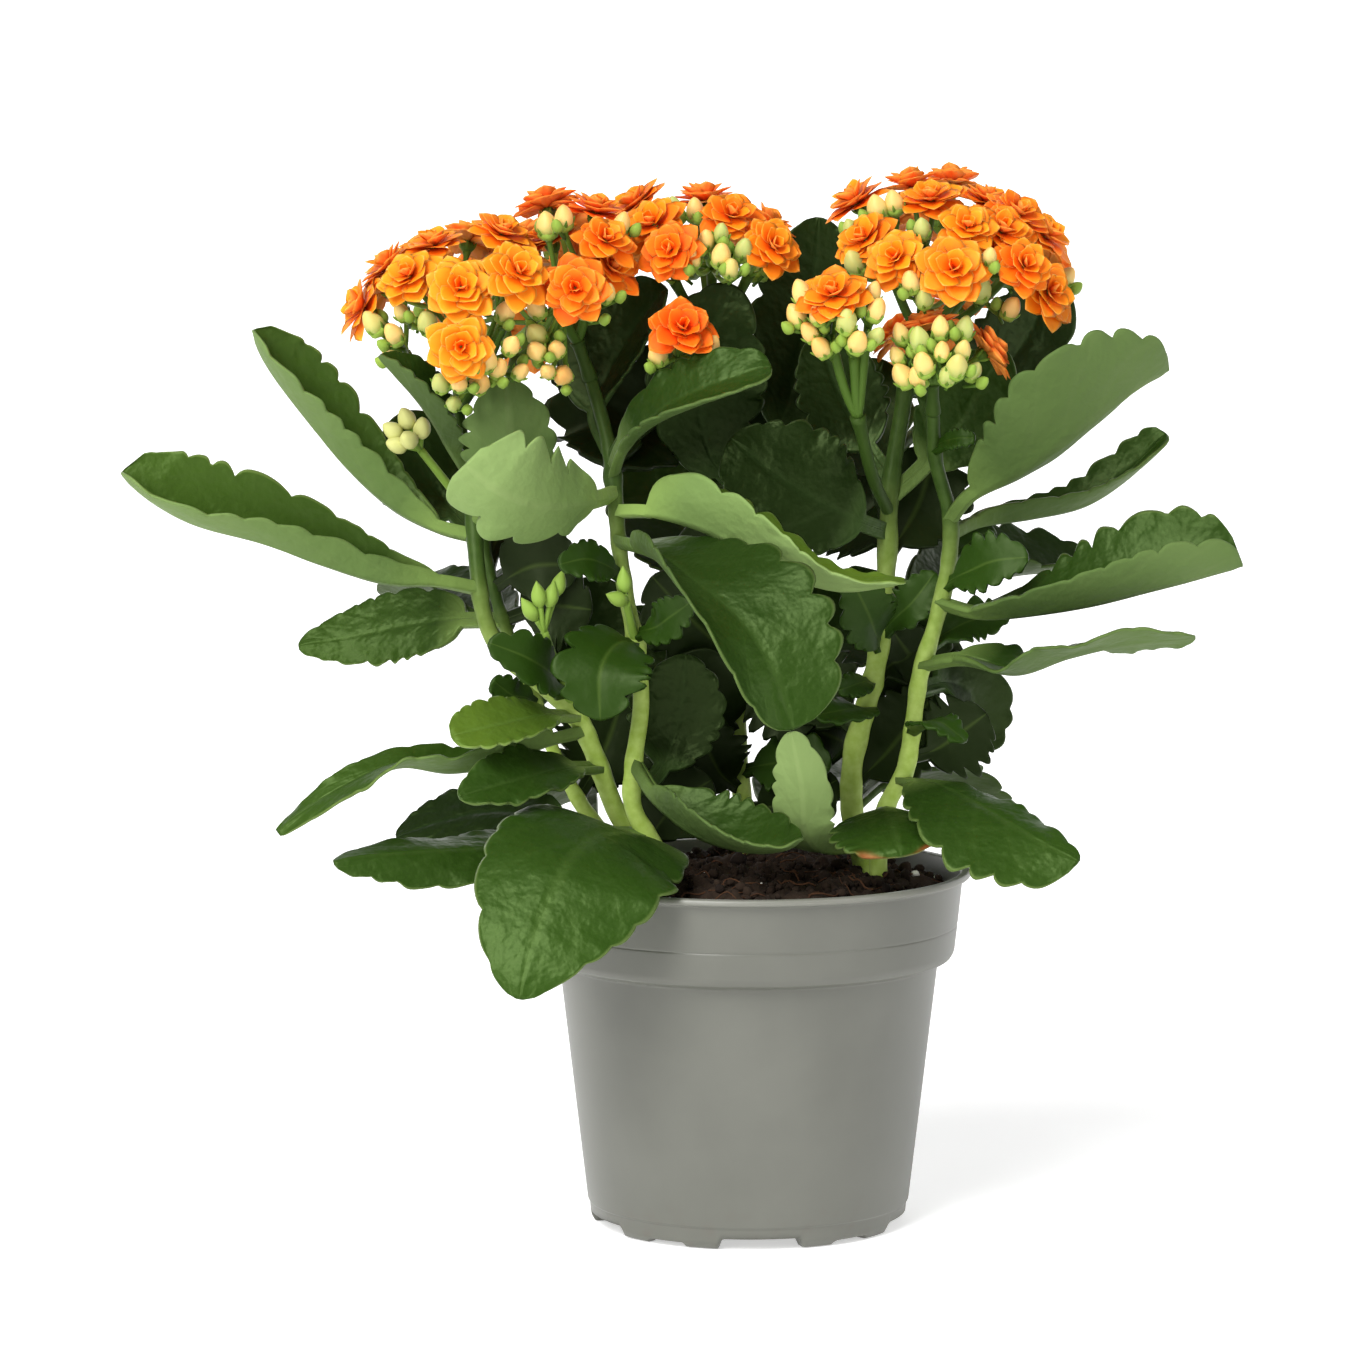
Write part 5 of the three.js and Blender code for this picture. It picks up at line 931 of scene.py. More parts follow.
def curve(points, places):
    """Places and directions along a Catmull-Rom curve through the points, at shares of its length."""
    p = np.asarray(points, float)
    p = np.concatenate([[2 * p[0] - p[1]], p, [2 * p[-1] - p[-2]]])
    spans = len(p) - 3
    t = np.linspace(0, spans, 40 * spans + 1)
    k = np.minimum(t.astype(int), spans - 1)
    u = (t - k)[:, None]
    a, b, c, d = p[k], p[k + 1], p[k + 2], p[k + 3]
    at = 0.5 * (2 * b + (c - a) * u + (2 * a - 5 * b + 4 * c - d) * u**2 + (3 * b - a - 3 * c + d) * u**3)
    way = 0.5 * ((c - a) + 2 * (2 * a - 5 * b + 4 * c - d) * u + 3 * (3 * b - a - 3 * c + d) * u**2)
    run = np.concatenate([[0], np.cumsum(np.linalg.norm(np.diff(at, axis=0), axis=1))])
    length = run[-1]
    place, heading = (
        np.stack([np.interp(places * length, run, column) for column in values.T], 1)
        for values in (at, way)
    )
    return place, unit(heading), length


def carried_frame(directions):
    """Side vectors carried along a path without twist: each is the last, made square to its direction."""
    helper = np.array([0, 0, 1.0]) if abs(directions[0][2]) < 0.9 else np.array([1.0, 0, 0])
    sides = []
    side = np.cross(helper, directions[0])
    for way in directions:
        side = side - way * np.dot(side, way)
        side = side / np.linalg.norm(side)
        sides.append(side)
    sides = np.array(sides)
    return sides, np.cross(directions, sides)


class Shape:
    """Triangles with a UV place and named numbers for each vertex, gathered from many grids."""

    def __init__(self, *names):
        self.names = names
        self.points, self.faces, self.uv, self.values = [], [], [], []
        self.count = 0

    def add(self, points, faces, uv, **values):
        """Adds vertices, faces that count from the first of them, and the named values."""
        flat = points.reshape(-1, 3)
        self.points.append(flat)
        self.faces.append(faces + self.count)
        self.uv.append(uv.reshape(-1, 2))
        self.values.append([np.broadcast_to(values[name], len(flat)) for name in self.names])
        self.count += len(flat)

    def tube(self, rings, u, **values):
        """Closed skin over rings, an array of rows, places round and 3: seam joined, both ends capped.

        Values may be one number, or an array of rows by places round.
        """
        rows, around = rings.shape[:2]
        ends = np.stack([rings[0].mean(0), rings[-1].mean(0)])
        points = np.concatenate([rings.reshape(-1, 3), ends])
        i, j = np.meshgrid(np.arange(rows - 1), np.arange(around), indexing="ij")
        a = (i * around + j).ravel()
        b = (i * around + (j + 1) % around).ravel()
        half, other_half = np.stack([a, b, b + around], 1), np.stack([a, b + around, a + around], 1)
        spot = np.arange(around)
        after = (spot + 1) % around
        last = (rows - 1) * around
        first_cap = np.stack([np.full(around, rows * around), after, spot], 1)
        last_cap = np.stack([np.full(around, rows * around + 1), last + spot, last + after], 1)
        faces = np.concatenate([half, other_half, first_cap, last_cap])
        v = np.abs(np.linspace(-1, 1, around, endpoint=False))
        grid = np.stack([np.repeat(u, around), np.tile(v, rows)], 1)
        uv = np.concatenate([grid, [[u[0], 0.5], [u[-1], 0.5]]])
        filled = {}
        for name, value in values.items():
            value = np.asarray(value, float)
            if value.ndim:
                value = np.broadcast_to(value, (rows, around))
                value = np.concatenate([value.ravel(), [value[0].mean(), value[-1].mean()]])
            filled[name] = value
        self.add(points, faces, uv, **filled)

    def rod(self, path, radii, around, u=None, **values):
        """Round tube: a circle of the given radius stands square on each point of the path."""
        path = np.asarray(path, float)
        directions = unit(np.gradient(path, axis=0))
        side, top = carried_frame(directions)
        turn = np.linspace(0, 2 * np.pi, around, endpoint=False)[None, :, None]
        radii = np.broadcast_to(radii, len(path))[:, None, None]
        rings = path[:, None] + radii * (np.cos(turn) * side[:, None] + np.sin(turn) * top[:, None])
        self.tube(rings, np.linspace(0, 1, len(path)) if u is None else u, **values)

    def piece(self, name, material, slot, *nodes):
        """Makes the mesh object in metres, on the plant's one body, in place of its CAD nodes."""
        points = np.concatenate(self.points) / 1000
        faces = np.concatenate(self.faces).astype(np.int32)
        mesh = bpy.data.meshes.new(name)
        mesh.vertices.add(len(points))
        mesh.vertices.foreach_set("co", points.ravel())
        mesh.loops.add(faces.size)
        mesh.loops.foreach_set("vertex_index", faces.ravel())
        mesh.polygons.add(len(faces))
        mesh.polygons.foreach_set("loop_start", np.arange(0, faces.size, 3, dtype=np.int32))
        mesh.update(calc_edges=True)
        mesh.polygons.foreach_set("use_smooth", np.ones(len(faces), bool))
        uv = mesh.uv_layers.new(name="UVMap")
        uv.data.foreach_set("uv", np.concatenate(self.uv)[faces.ravel()].ravel())
        for k, label in enumerate(self.names):
            layer = mesh.attributes.new(label, "FLOAT", "POINT")
            numbers = np.concatenate([row[k] for row in self.values])
            layer.data.foreach_set("value", numbers.astype(np.float32))
        mesh.materials.append(material)
        thing = placed(name, mesh)
        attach(thing, "root")
        if nodes:
            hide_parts(*nodes)
        return thing


# Leaves. Columns of a half blade, as shares of its width from the midrib to just inside the rim
ACROSS = np.array([0, 0.1, 0.22, 0.36, 0.5, 0.63, 0.75, 0.85, 0.92, 0.97])


def scallops(u, sign, lobes, deep, seed):
    """How far the edge stands out at shares u of the blade, and the phase of its ripple, in turns.

    The edge is |sin(pi phase^LOBE_LEAN)|^LOBE_ROUNDNESS in each lobe. Lobes drift along the edge and
    differ in depth by slow sines of the leaf's own seed, and fade out at the stalk.
    """
    drift = 0.035 * np.sin(2 * np.pi * (1.7 * u + 0.37 * seed + 0.3 * sign))
    turns = lobes * (u + drift)
    scallop = np.abs(np.sin(np.pi * (turns % 1) ** LOBE_LEAN)) ** LOBE_ROUNDNESS - 0.66
    depth = deep * LOBE_DEPTH * (1 + 0.35 * np.sin(9 * u + seed + sign))
    return ease(0.05, 0.22, u) * (1 - 0.5 * ease(0.93, 1, u)) * depth * scallop, turns + 0.1 * sign


def leaf_rings(row, root, stalk, rows, half_width, thickness):
    """Rings of a leaf: each is a flat loop over the top face, round one edge and back under.

    The midrib follows the path. Each half blade leaves it at the fold angle and bends up by the
    curl angle on its way out, as a circular arc. Its width is an oval in u, the share of the
    blade's length, |sin(pi u^ends)| to a power, with the scallops cut in its edge. Thickness falls
    off towards the edge, and a groove runs along the midrib on both faces.
    """
    points = np.concatenate([[root], seen(row["path"])])
    along = np.linspace(0, 1, rows)
    at, way, length = curve(points, along)
    stalk_end = stalk / length
    u = np.clip((along - stalk_end) / (1 - stalk_end), 0, 1)
    up = mix(unit(row["up"][0]), unit(row["up"][1]), along[:, None])
    up = unit(up - way * np.sum(up * way, axis=1, keepdims=True))
    right = np.cross(way, up)

    lobes, deep = SCALLOPS.get(row.get("name"), (row.get("lobes", LOBES), row.get("teeth", 1)))
    ends = row.get("ends", 1)
    oval = np.abs(np.sin(np.pi * u**ends)) ** (TIP_ROUNDNESS / max(1, ends))
    narrow = mix(half_width, 1.0, u)
    seed = sum(map(ord, row["stem"])) + row["path"][0][0] + row["path"][-1][1]
    q = np.concatenate([ACROSS, [1], ACROSS[:0:-1], -ACROSS, [-1], -ACROSS[:0:-1]])
    top = np.ones(len(ACROSS))
    over = np.concatenate([top, [0], -top[1:], -top, [0], top[1:]])
    v = np.abs(q)

    rings = np.zeros((rows, len(q), 3))
    for sign, side, widest in ((-1, "left", row["half"][0]), (1, "right", row["half"][1])):
        fold_and_curl = np.radians(row.get(side, row.get("both", FLAT)))
        columns = np.where((q * sign > 0) | ((q == 0) & (sign == 1)))[0]
        fold = mix(*fold_and_curl[:2], u)[:, None]
        curl = mix(*fold_and_curl[2:], u)[:, None]
        curl = np.where(np.abs(curl) < 1e-3, 1e-3, curl)
        width = (narrow + (widest - 1.8) * oval)[:, None]
        lobe, turns = scallops(u, sign, lobes, deep, seed)
        sway = 0.04 * np.sin(2 * np.pi * (0.8 * u + 0.21 * seed)) * np.sin(np.pi * u)
        reach = v[columns][None, :]
        reach = reach * (1 + sway[:, None] + lobe[:, None] * reach**4)
        turn = fold + curl * reach
        out = width * (np.sin(turn) - np.sin(fold)) / curl
        lift = width * (np.cos(fold) - np.cos(turn)) / curl
        swing = np.sin(5.5 * np.pi * u + sign)[:, None]
        lift = lift + row.get("wave", 0) * reach**2 * np.sin(np.pi * u)[:, None] * swing
        ripple = np.sin(2 * np.pi * turns)[:, None]
        lift = lift + EDGE_RIPPLE * reach**6 * ripple * ease(0.05, 0.3, u)[:, None]
        side_way = sign * right[:, None]
        skin = up[:, None] * np.cos(turn)[..., None] - side_way * np.sin(turn)[..., None]
        centre = at[:, None] + side_way * out[..., None] + up[:, None] * lift[..., None]
        swell = 0.45 * (1 - ease(0, 0.3, u))[:, None]
        depth = mix(thickness, EDGE_HALF_THICKNESS, np.minimum(reach, 1) ** 0.8) + swell
        depth = depth * (1 - 0.45 * ease(0.95, 1, u))[:, None]
        face = over[columns][None, :]
        groove = np.exp(-((reach * width / MIDRIB_WIDTH) ** 2)) * (1 - ease(0.75, 1, u))[:, None]
        relief = np.where(face > 0, -TOP_GROOVE * groove, -UNDER_GROOVE * groove)
        rings[:, columns] = centre + skin * (face * depth + relief)[..., None]
    return rings, along, u, v, over


def leaf(
    shape, row, root, stalk=STALK_LENGTH, rows=LEAF_ROWS, half_width=2.4,
    thickness=BLADE_HALF_THICKNESS, **values,
):
    """Adds one leaf to a shape: face is 1 on top and 0 below, rib 0 on the midrib and 1 at the edge."""
    rings, along, u, v, over = leaf_rings(row, root, stalk, rows, half_width, thickness)
    face = np.broadcast_to(0.5 + 0.5 * over, rings.shape[:2])
    rib = np.broadcast_to(v, rings.shape[:2])
    blade = np.broadcast_to(u[:, None], rings.shape[:2])
    along_scar, across_scar = SCARS.get(row.get("name"), NO_SCAR)
    away = ((blade - along_scar) / 0.05) ** 2 + ((rib - across_scar) / 0.16) ** 2
    vein = 5 * blade - 1.7 * rib
    shape.tube(rings, along, face=face, rib=rib, blade=blade, vein=vein, scar=np.exp(-away), **values)


def nearest_on_stem(stem, place):
    """The point of a stem's middle line that is nearest to a place."""
    return nearest(stem_path(stem, np.linspace(0, 1, 241)), seen(place)[0])


def stem_path(stem, share):
    """Points of a stem's middle line, at shares of its length."""
    return curve(seen(STEMS[stem]["path"]), share)[0]


def make_leaves():
    """Every large leaf is a piece of its own, in place of its CAD node."""
    for row in LEAVES:
        shape = Shape("face", "rib", "blade", "tone", "scar", "vein")
        root = nearest_on_stem(row["stem"], row["path"][0])
        leaf(shape, {**row, "path": row["path"][1:]}, root, tone=LEAF_LIGHT_AND_SHADE.get(row["name"], 0.4))
        shape.piece("fine_leaf_" + row["name"], LEAF, "leaf", "leaf_" + row["name"])


# Stems with their small leaves and side shoots

def make_stems():
    """Each stem is a round tube, a little thicker at its foot, with a swollen ring at each leaf joint."""
    for name, row in STEMS.items():
        shape = Shape("rib", "tone", "height")
        share = np.linspace(0, 1, STEM_ROWS)
        path, _, length = curve(seen(row["path"]), share)
        girth = np.full(len(share), float(row["radius"])) * mix(*STEM_TAPER, share)
        for grown in [grown for grown in LEAVES + SMALL_LEAVES + SHOOTS if grown["stem"] == name]:
            place = nearest_on_stem(name, grown["path"][0] if "path" in grown else grown["start"])
            joint = np.argmin(np.linalg.norm(path - place, axis=1)) / (len(share) - 1)
            girth += JOINT_SWELL * np.exp(-(((share - joint) * length / JOINT_LENGTH) ** 2))
        girth = np.minimum(girth, row["radius"] * 1.15)
        shape.rod(
            path, girth, STEM_SIDES, u=share * length / 10, rib=0, tone=0,
            height=share[:, None] * np.ones(STEM_SIDES),
        )
        for grown in SMALL_LEAVES:
            if grown["stem"] == name:
                grow_small_leaf(shape, grown)
        for shoot in SHOOTS:
            if shoot["stem"] == name:
                grow_shoot(shape, shoot)
        shape.piece("fine_" + name, STEM, "stem", name)


def grow_small_leaf(shape, grown):
    """A small leaf with six deep lobes. The dark upright ones, painted near black as shade, are a third
    wider.
    """
    dark = grown["up"] is UPRIGHT
    small = dict(
        stem=grown["stem"], path=grown["path"][1:], up=grown["up"], both=[5, 0, 10, 5],
        half=[(1.3 if dark else 1) * half for half in grown["half"]], lobes=SMALL_LOBES, teeth=2.4,
    )
    root = nearest_on_stem(grown["stem"], grown["path"][0])
    leaf(
        shape, small, root, SMALL_STALK_LENGTH, SMALL_LEAF_ROWS, 1.9, 0.8,
        tone=0.1 if dark else 0.85, height=0.5,
    )


def grow_shoot(shape, shoot):
    """A thin side stalk that ends in tight buds, which are riper on the stem at the back."""
    start = nearest_on_stem(shoot["stem"], shoot["start"])
    top = seen(shoot["end"])[0]
    path = curve([start, mix(start, top, 0.5), top], np.linspace(0, 1, 12))[0]
    young = dict(rib=0.5, height=0.3)
    shape.rod(path, mix(1.35, 1.1, np.linspace(0, 1, 12)), 12, tone=0.95, **young)
    for place in seen(shoot["buds"]):
        axis = unit(place - top)
        base = place - 4 * axis
        stalk = np.stack([mix(top, base, t) for t in np.linspace(-0.1, 1.1, 6)])
        shape.rod(stalk, 0.75, 8, tone=0.95, **young)
        ripe = shoot["stem"] == "stem_left_back"
        spindle(
            shape, base, axis, 2.5 if ripe else 2.1, 6.5 if ripe else 8, 0.5, blunt=0.6 if ripe else 1,
            tone=1 if ripe else 0.97, **young,
        )


# Flower heads

def across(axis):
    """Two directions square to an axis: the cross product of Z with it, or of X where it is upright."""
    helper = np.array([1.0, 0, 0]) if abs(axis[2]) > 0.9 else np.array([0, 0, 1.0])
    side = unit(np.cross(helper, axis))
    return side, np.cross(axis, side)


def spindle(shape, base, axis, radius, length, turn, rows=12, around=12, blunt=0.85, **values):
    """Closed bud: r = radius sin(pi t^0.8)^blunt up its length, with four shallow grooves round it.

    A value may also be a function of t and of the turn round the bud.
    """
    t = np.linspace(0.03, 0.985, rows)
    side, other = across(axis)
    spin = np.linspace(0, 2 * np.pi, around, endpoint=False) + turn
    groove = 1 + 0.06 * np.cos(4 * (spin - turn))
    reach = radius * (np.sin(np.pi * t**0.8) ** blunt)[:, None] * groove[None, :]
    rings = base + axis * (length * t)[:, None, None]
    rings = rings + reach[..., None] * (np.cos(spin)[:, None] * side + np.sin(spin)[:, None] * other)
    values = {k: (v(t, spin - turn) if callable(v) else v) for k, v in values.items()}
    shape.tube(rings, t, **values)


def petal(shape, centre, side, other, axis, turn, start, length, width, lift, bend, cup, glow):
    """One petal, a closed thin blade: w = width sin(pi t^1.35)^1.05 / 2, widest past its middle.

    Its middle line leaves the axis at radius start, rises at the lift angle and bends up by the
    bend angle as an arc. Across, it is cupped by the square of the share of its half width.
    """
    s = np.array([0, 0.16, 0.36, 0.56, 0.76, 0.91, 1])
    q = np.array([0, 0.6, 1, 0, -1, -0.6])
    over = np.array([1, 1, 0, -1, 0, 1])
    angle = lift + bend * s
    bend = bend if abs(bend) > 0.01 else 0.01
    out = start + length * (np.sin(angle) - np.sin(lift)) / bend
    rise = length * (np.cos(lift) - np.cos(angle)) / bend
    half = np.maximum(0.5 * width * np.sin(np.pi * (0.1 + 0.88 * s) ** 1.35) ** 1.05, 0.06)
    half[-1] = 0.05
    ray = np.cos(turn) * side + np.sin(turn) * other
    cross = np.cross(axis, ray)
    middle = centre + out[:, None] * ray + rise[:, None] * axis
    skin = np.cos(angle)[:, None] * axis - np.sin(angle)[:, None] * ray
    thick = 0.2 * (1 - 0.4 * s)[:, None] * over + cup * half[:, None] * q**2
    thick = thick - 0.14 * (q == 0) * (over > 0)
    rings = middle[:, None] + (half[:, None] * q)[..., None] * cross + thick[..., None] * skin[:, None]
    along = np.broadcast_to(s[:, None], (len(s), len(q)))
    face = np.broadcast_to(0.5 + 0.5 * over, (len(s), len(q)))
    shape.tube(rings[:, ::-1], s, along=along, glow=glow, face=face[:, ::-1])


# Rings of petals from the outside in: how many, start, length and width in bloom radii, lift and bend in
# degrees, and cup
WHORLS = [
    (7, 0.1, 0.98, 0.82, 2, -10, 0.16),
    (6, 0.09, 0.86, 0.8, 13, -8, 0.2),
    (5, 0.08, 0.74, 0.72, 26, -6, 0.2),
    (4, 0.06, 0.58, 0.6, 42, 8, 0.28),
    (3, 0.04, 0.4, 0.44, 62, 20, 0.34),
]


def bloom(shape, at, axis, radius, spin, glow, draw):
    """Double bloom: rings of petals, each ring set between the petals below and standing steeper."""
    side, other = across(axis)
    for layer, (count, start, length, width, lift, bend, cup) in enumerate(WHORLS):
        floor = at + axis * radius * (-0.06 + 0.045 * layer)
        for k in range(count):
            turn = spin + 2 * np.pi * (k + 0.5 * (layer % 2) + draw.uniform(-0.16, 0.16)) / count
            petal(
                shape, floor, side, other, axis, turn, start * radius,
                length * radius * draw.uniform(0.9, 1.07), width * radius * draw.uniform(0.88, 1.1),
                math.radians(lift + draw.uniform(-9, 9)), math.radians(bend + draw.uniform(-7, 12)), cup,
                np.clip(glow + 0.1 * layer + draw.uniform(-0.2, 0.2), 0, 1),
            )


def sepals(shape, base, axis, reach, draw):
    """Four small pointed sepals round the foot of a bloom or bud, each a closed curved spike."""
    side, other = across(axis)
    t = np.linspace(0, 1, 6)
    first = draw.uniform(0, np.pi)
    for k in range(4):
        ray = np.cos(first + k * np.pi / 2) * side + np.sin(first + k * np.pi / 2) * other
        path = base + ray * (0.5 + reach * np.sin(t * 1.3))[:, None]
        path = path + axis * (reach * 1.15 * t**1.4)[:, None]
        shape.rod(path, SEPAL_RADIUS * (1 - t) ** 0.7 + 0.08, 6, tone=0.35 + 0.3 * k / 3)


def pedicel(shape, start, end, axis, draw):
    """Thin stalk with an even bow, from its fork to the foot of a bloom or bud, flared where it ends."""
    span = np.linalg.norm(end - start)
    bow = end - axis * 0.4 * span
    t = np.linspace(0, 1, 9)[:, None]
    path = (1 - t) ** 2 * start + 2 * t * (1 - t) * mix(bow, mix(start, end, 0.5), 0.4) + t**2 * end
    flare = PEDICEL * (1 + 0.7 * np.exp(-(((1 - t[:, 0]) * span / 1.2) ** 2)))
    shape.rod(path, flare, 7, tone=draw.uniform(0.2, 0.7))


def make_heads():
    """Each head is three pieces, one a material: petals, buds, and its green stalks and sepals."""
    for number, row in enumerate(HEADS):
        draw = np.random.default_rng(100 + number)
        petals = Shape("along", "glow", "face")
        buds = Shape("along", "seam", "glow")
        green = Shape("tone")
        grow_head(row, petals, buds, green, draw)
        petals.piece(row["name"] + "_petals", PETAL, "flower", row["name"])
        if row["buds"]:
            buds.piece(row["name"] + "_buds", BUD, "flower", row["name"])
        green.piece(row["name"] + "_stalks", STALK, "stem", row["name"])


def bud_height(t, turn):
    """Share of the way up a bud."""
    return t[:, None] + 0 * turn


def seam_distance(t, turn):
    """|cos 2 turn|: 0 on the four seams of a bud and 1 between them."""
    return np.abs(np.cos(2 * turn)) + 0 * t[:, None]


def grow_head(row, petals, buds, green, draw):
    """A stalk splits into forks. From the nearest fork a pedicel runs to each bloom and bud."""
    middle = seen(row["centre"])[0]
    tops = seen(row["stalk"])
    forks = seen(row["forks"])
    head_stalk(row, tops, green)
    for fork in forks:
        branch(green, tops[-1], fork, draw)
    for k, at in enumerate(seen(row["blooms"])):
        axis = unit(at - middle)
        radius = BLOOM_RADIUS * (1 - 0.05 * (k % 3))
        lit = HEAD_LIGHT_AND_SHADE.get(row["name"], 0.4) + draw.uniform(-0.25, 0.25)
        bloom(petals, at, axis, radius, 0.9 * k, lit, draw)
        foot = at - 0.34 * radius * axis
        pedicel(green, nearest(forks, at), foot, axis, draw)
        spindle(green, foot - 0.6 * axis, axis, 1.9, 4.4, 0, rows=7, around=10, tone=0.3)
        sepals(green, foot + 0.3 * axis, axis, 1.9, draw)
    for k, at in enumerate(seen(row["buds"])):
        axis = unit(unit(at - middle) + np.array([0, 0, BUD_RISE]))
        size = 1 - 0.08 * (k % 4)
        base = at - 0.5 * size * BUD_LENGTH * axis
        ripe = draw.uniform(0, 1)
        spindle(
            buds, base, axis, size * BUD_RADIUS, size * BUD_LENGTH, draw.uniform(0, 3),
            blunt=0.6, along=bud_height, seam=seam_distance, glow=ripe,
        )
        cup, cup_radius = base - 0.8 * axis, 1.02 * size * BUD_RADIUS
        spindle(green, cup, axis, cup_radius, 0.62 * BUD_LENGTH, 0, rows=7, around=8, tone=0.8)
        pedicel(green, nearest(forks, base), base + 0.5 * axis, axis, draw)
        sepals(green, base + 0.6 * axis, axis, 2.9 * size, draw)
        young_bud(green, base, axis, draw)


def head_stalk(row, tops, green):
    """The stalk goes on from its stem's top, or from a place on the stem, and swells where it forks."""
    if "root" in row:
        first = nearest_on_stem(row["stem"], row["root"])
        foot = HEAD_STALK
    else:
        first = stem_path(row["stem"], np.array([0.985, 1]))[0]
        foot = STEMS[row["stem"]]["radius"] * 0.9
    share = np.linspace(0, 1, 24)
    path = curve(np.concatenate([[first], tops]), share)[0]
    girth = mix(foot, HEAD_STALK, ease(0, 0.5, share)) + 0.5 * ease(0.85, 1, share)
    # Tone 0: painted shade, the darkest stalk green
    green.rod(path, girth, 14, tone=0)


def branch(green, crotch, fork, draw):
    """A short branch that sags by a half sine and swells at its fork, where it bears sepals."""
    t = np.linspace(0, 1, 10)[:, None]
    sag = np.array([0, 0, -0.12]) * np.linalg.norm(fork - crotch)
    path = mix(crotch, fork, t) + sag * np.sin(np.pi * t)
    # Tone 0.2: painted shade on the branch
    green.rod(path, mix(1.15 * BRANCH, BRANCH, t[:, 0]) + 0.45 * t[:, 0] ** 6, 10, tone=0.2)
    sepals(green, fork, unit(fork - crotch), 1.7, draw)


def young_bud(shape, beside, axis, draw):
    """A small green bud that grows from the foot of a larger one."""
    side, other = across(axis)
    turn = draw.uniform(0, 2 * np.pi)
    ray = np.cos(turn) * side + np.sin(turn) * other
    base = beside + 3.4 * ray + 0.4 * axis
    low, high = beside - 2.5 * axis, base + 0.5 * axis
    shape.rod(np.stack([low, 0.5 * (low + high), high]), 0.5, 6, tone=0.3)
    spindle(
        shape, base, unit(axis + 0.3 * ray), YOUNG_BUD_RADIUS, YOUNG_BUD_LENGTH, 0,
        rows=8, around=8, blunt=0.6, tone=0.75,
    )


# Pot and soil

def rounded(outline, reach):
    """Outline with each inner corner replaced by a short curve: (1-t)^2 a + 2t(1-t) corner + t^2 b."""
    p = np.asarray(outline, float)
    t = np.linspace(0, 1, 5)[:, None]
    pieces = [p[:1]]
    for before, corner, after in zip(p[:-2], p[1:-1], p[2:]):
        a, b = (
            corner + unit(way) * min(reach, 0.42 * np.linalg.norm(way))
            for way in (before - corner, after - corner)
        )
        pieces.append((1 - t) ** 2 * a + 2 * t * (1 - t) * corner + t**2 * b)
    return np.concatenate([*pieces, p[-1:]])


def turned(profile, sides, way=1):
    """Rings of a turned shape: each profile point [radius, height] goes round the pot's axis."""
    turn = way * np.linspace(0, 2 * np.pi, sides, endpoint=False)
    radius, height = profile.T
    rings = np.stack([radius[:, None] * np.cos(turn), radius[:, None] * np.sin(turn)], 2)
    return np.concatenate([rings, np.broadcast_to(height[:, None, None], (*rings.shape[:2], 1))], 2), turn


def notch(size, away):
    """A notch of a width in degrees and a depth, with eased sides, at degrees away from its middle."""
    width, depth = size
    return depth * (1 - ease(width / 2 - 0.8, width / 2 + 0.8, away))


def notch_height(turn):
    """How far the foot ring is cut away at each turn from the front: wide and narrow notches by turns."""
    period = 360 / FOOT_PERIODS
    degrees = (np.degrees(turn) + 90 - NOTCH_TURN) % period
    from_wide = np.minimum(degrees, period - degrees)
    from_narrow = np.abs(degrees - period / 2)
    return np.maximum(notch(WIDE_NOTCH, from_wide), notch(NARROW_NOTCH, from_narrow))


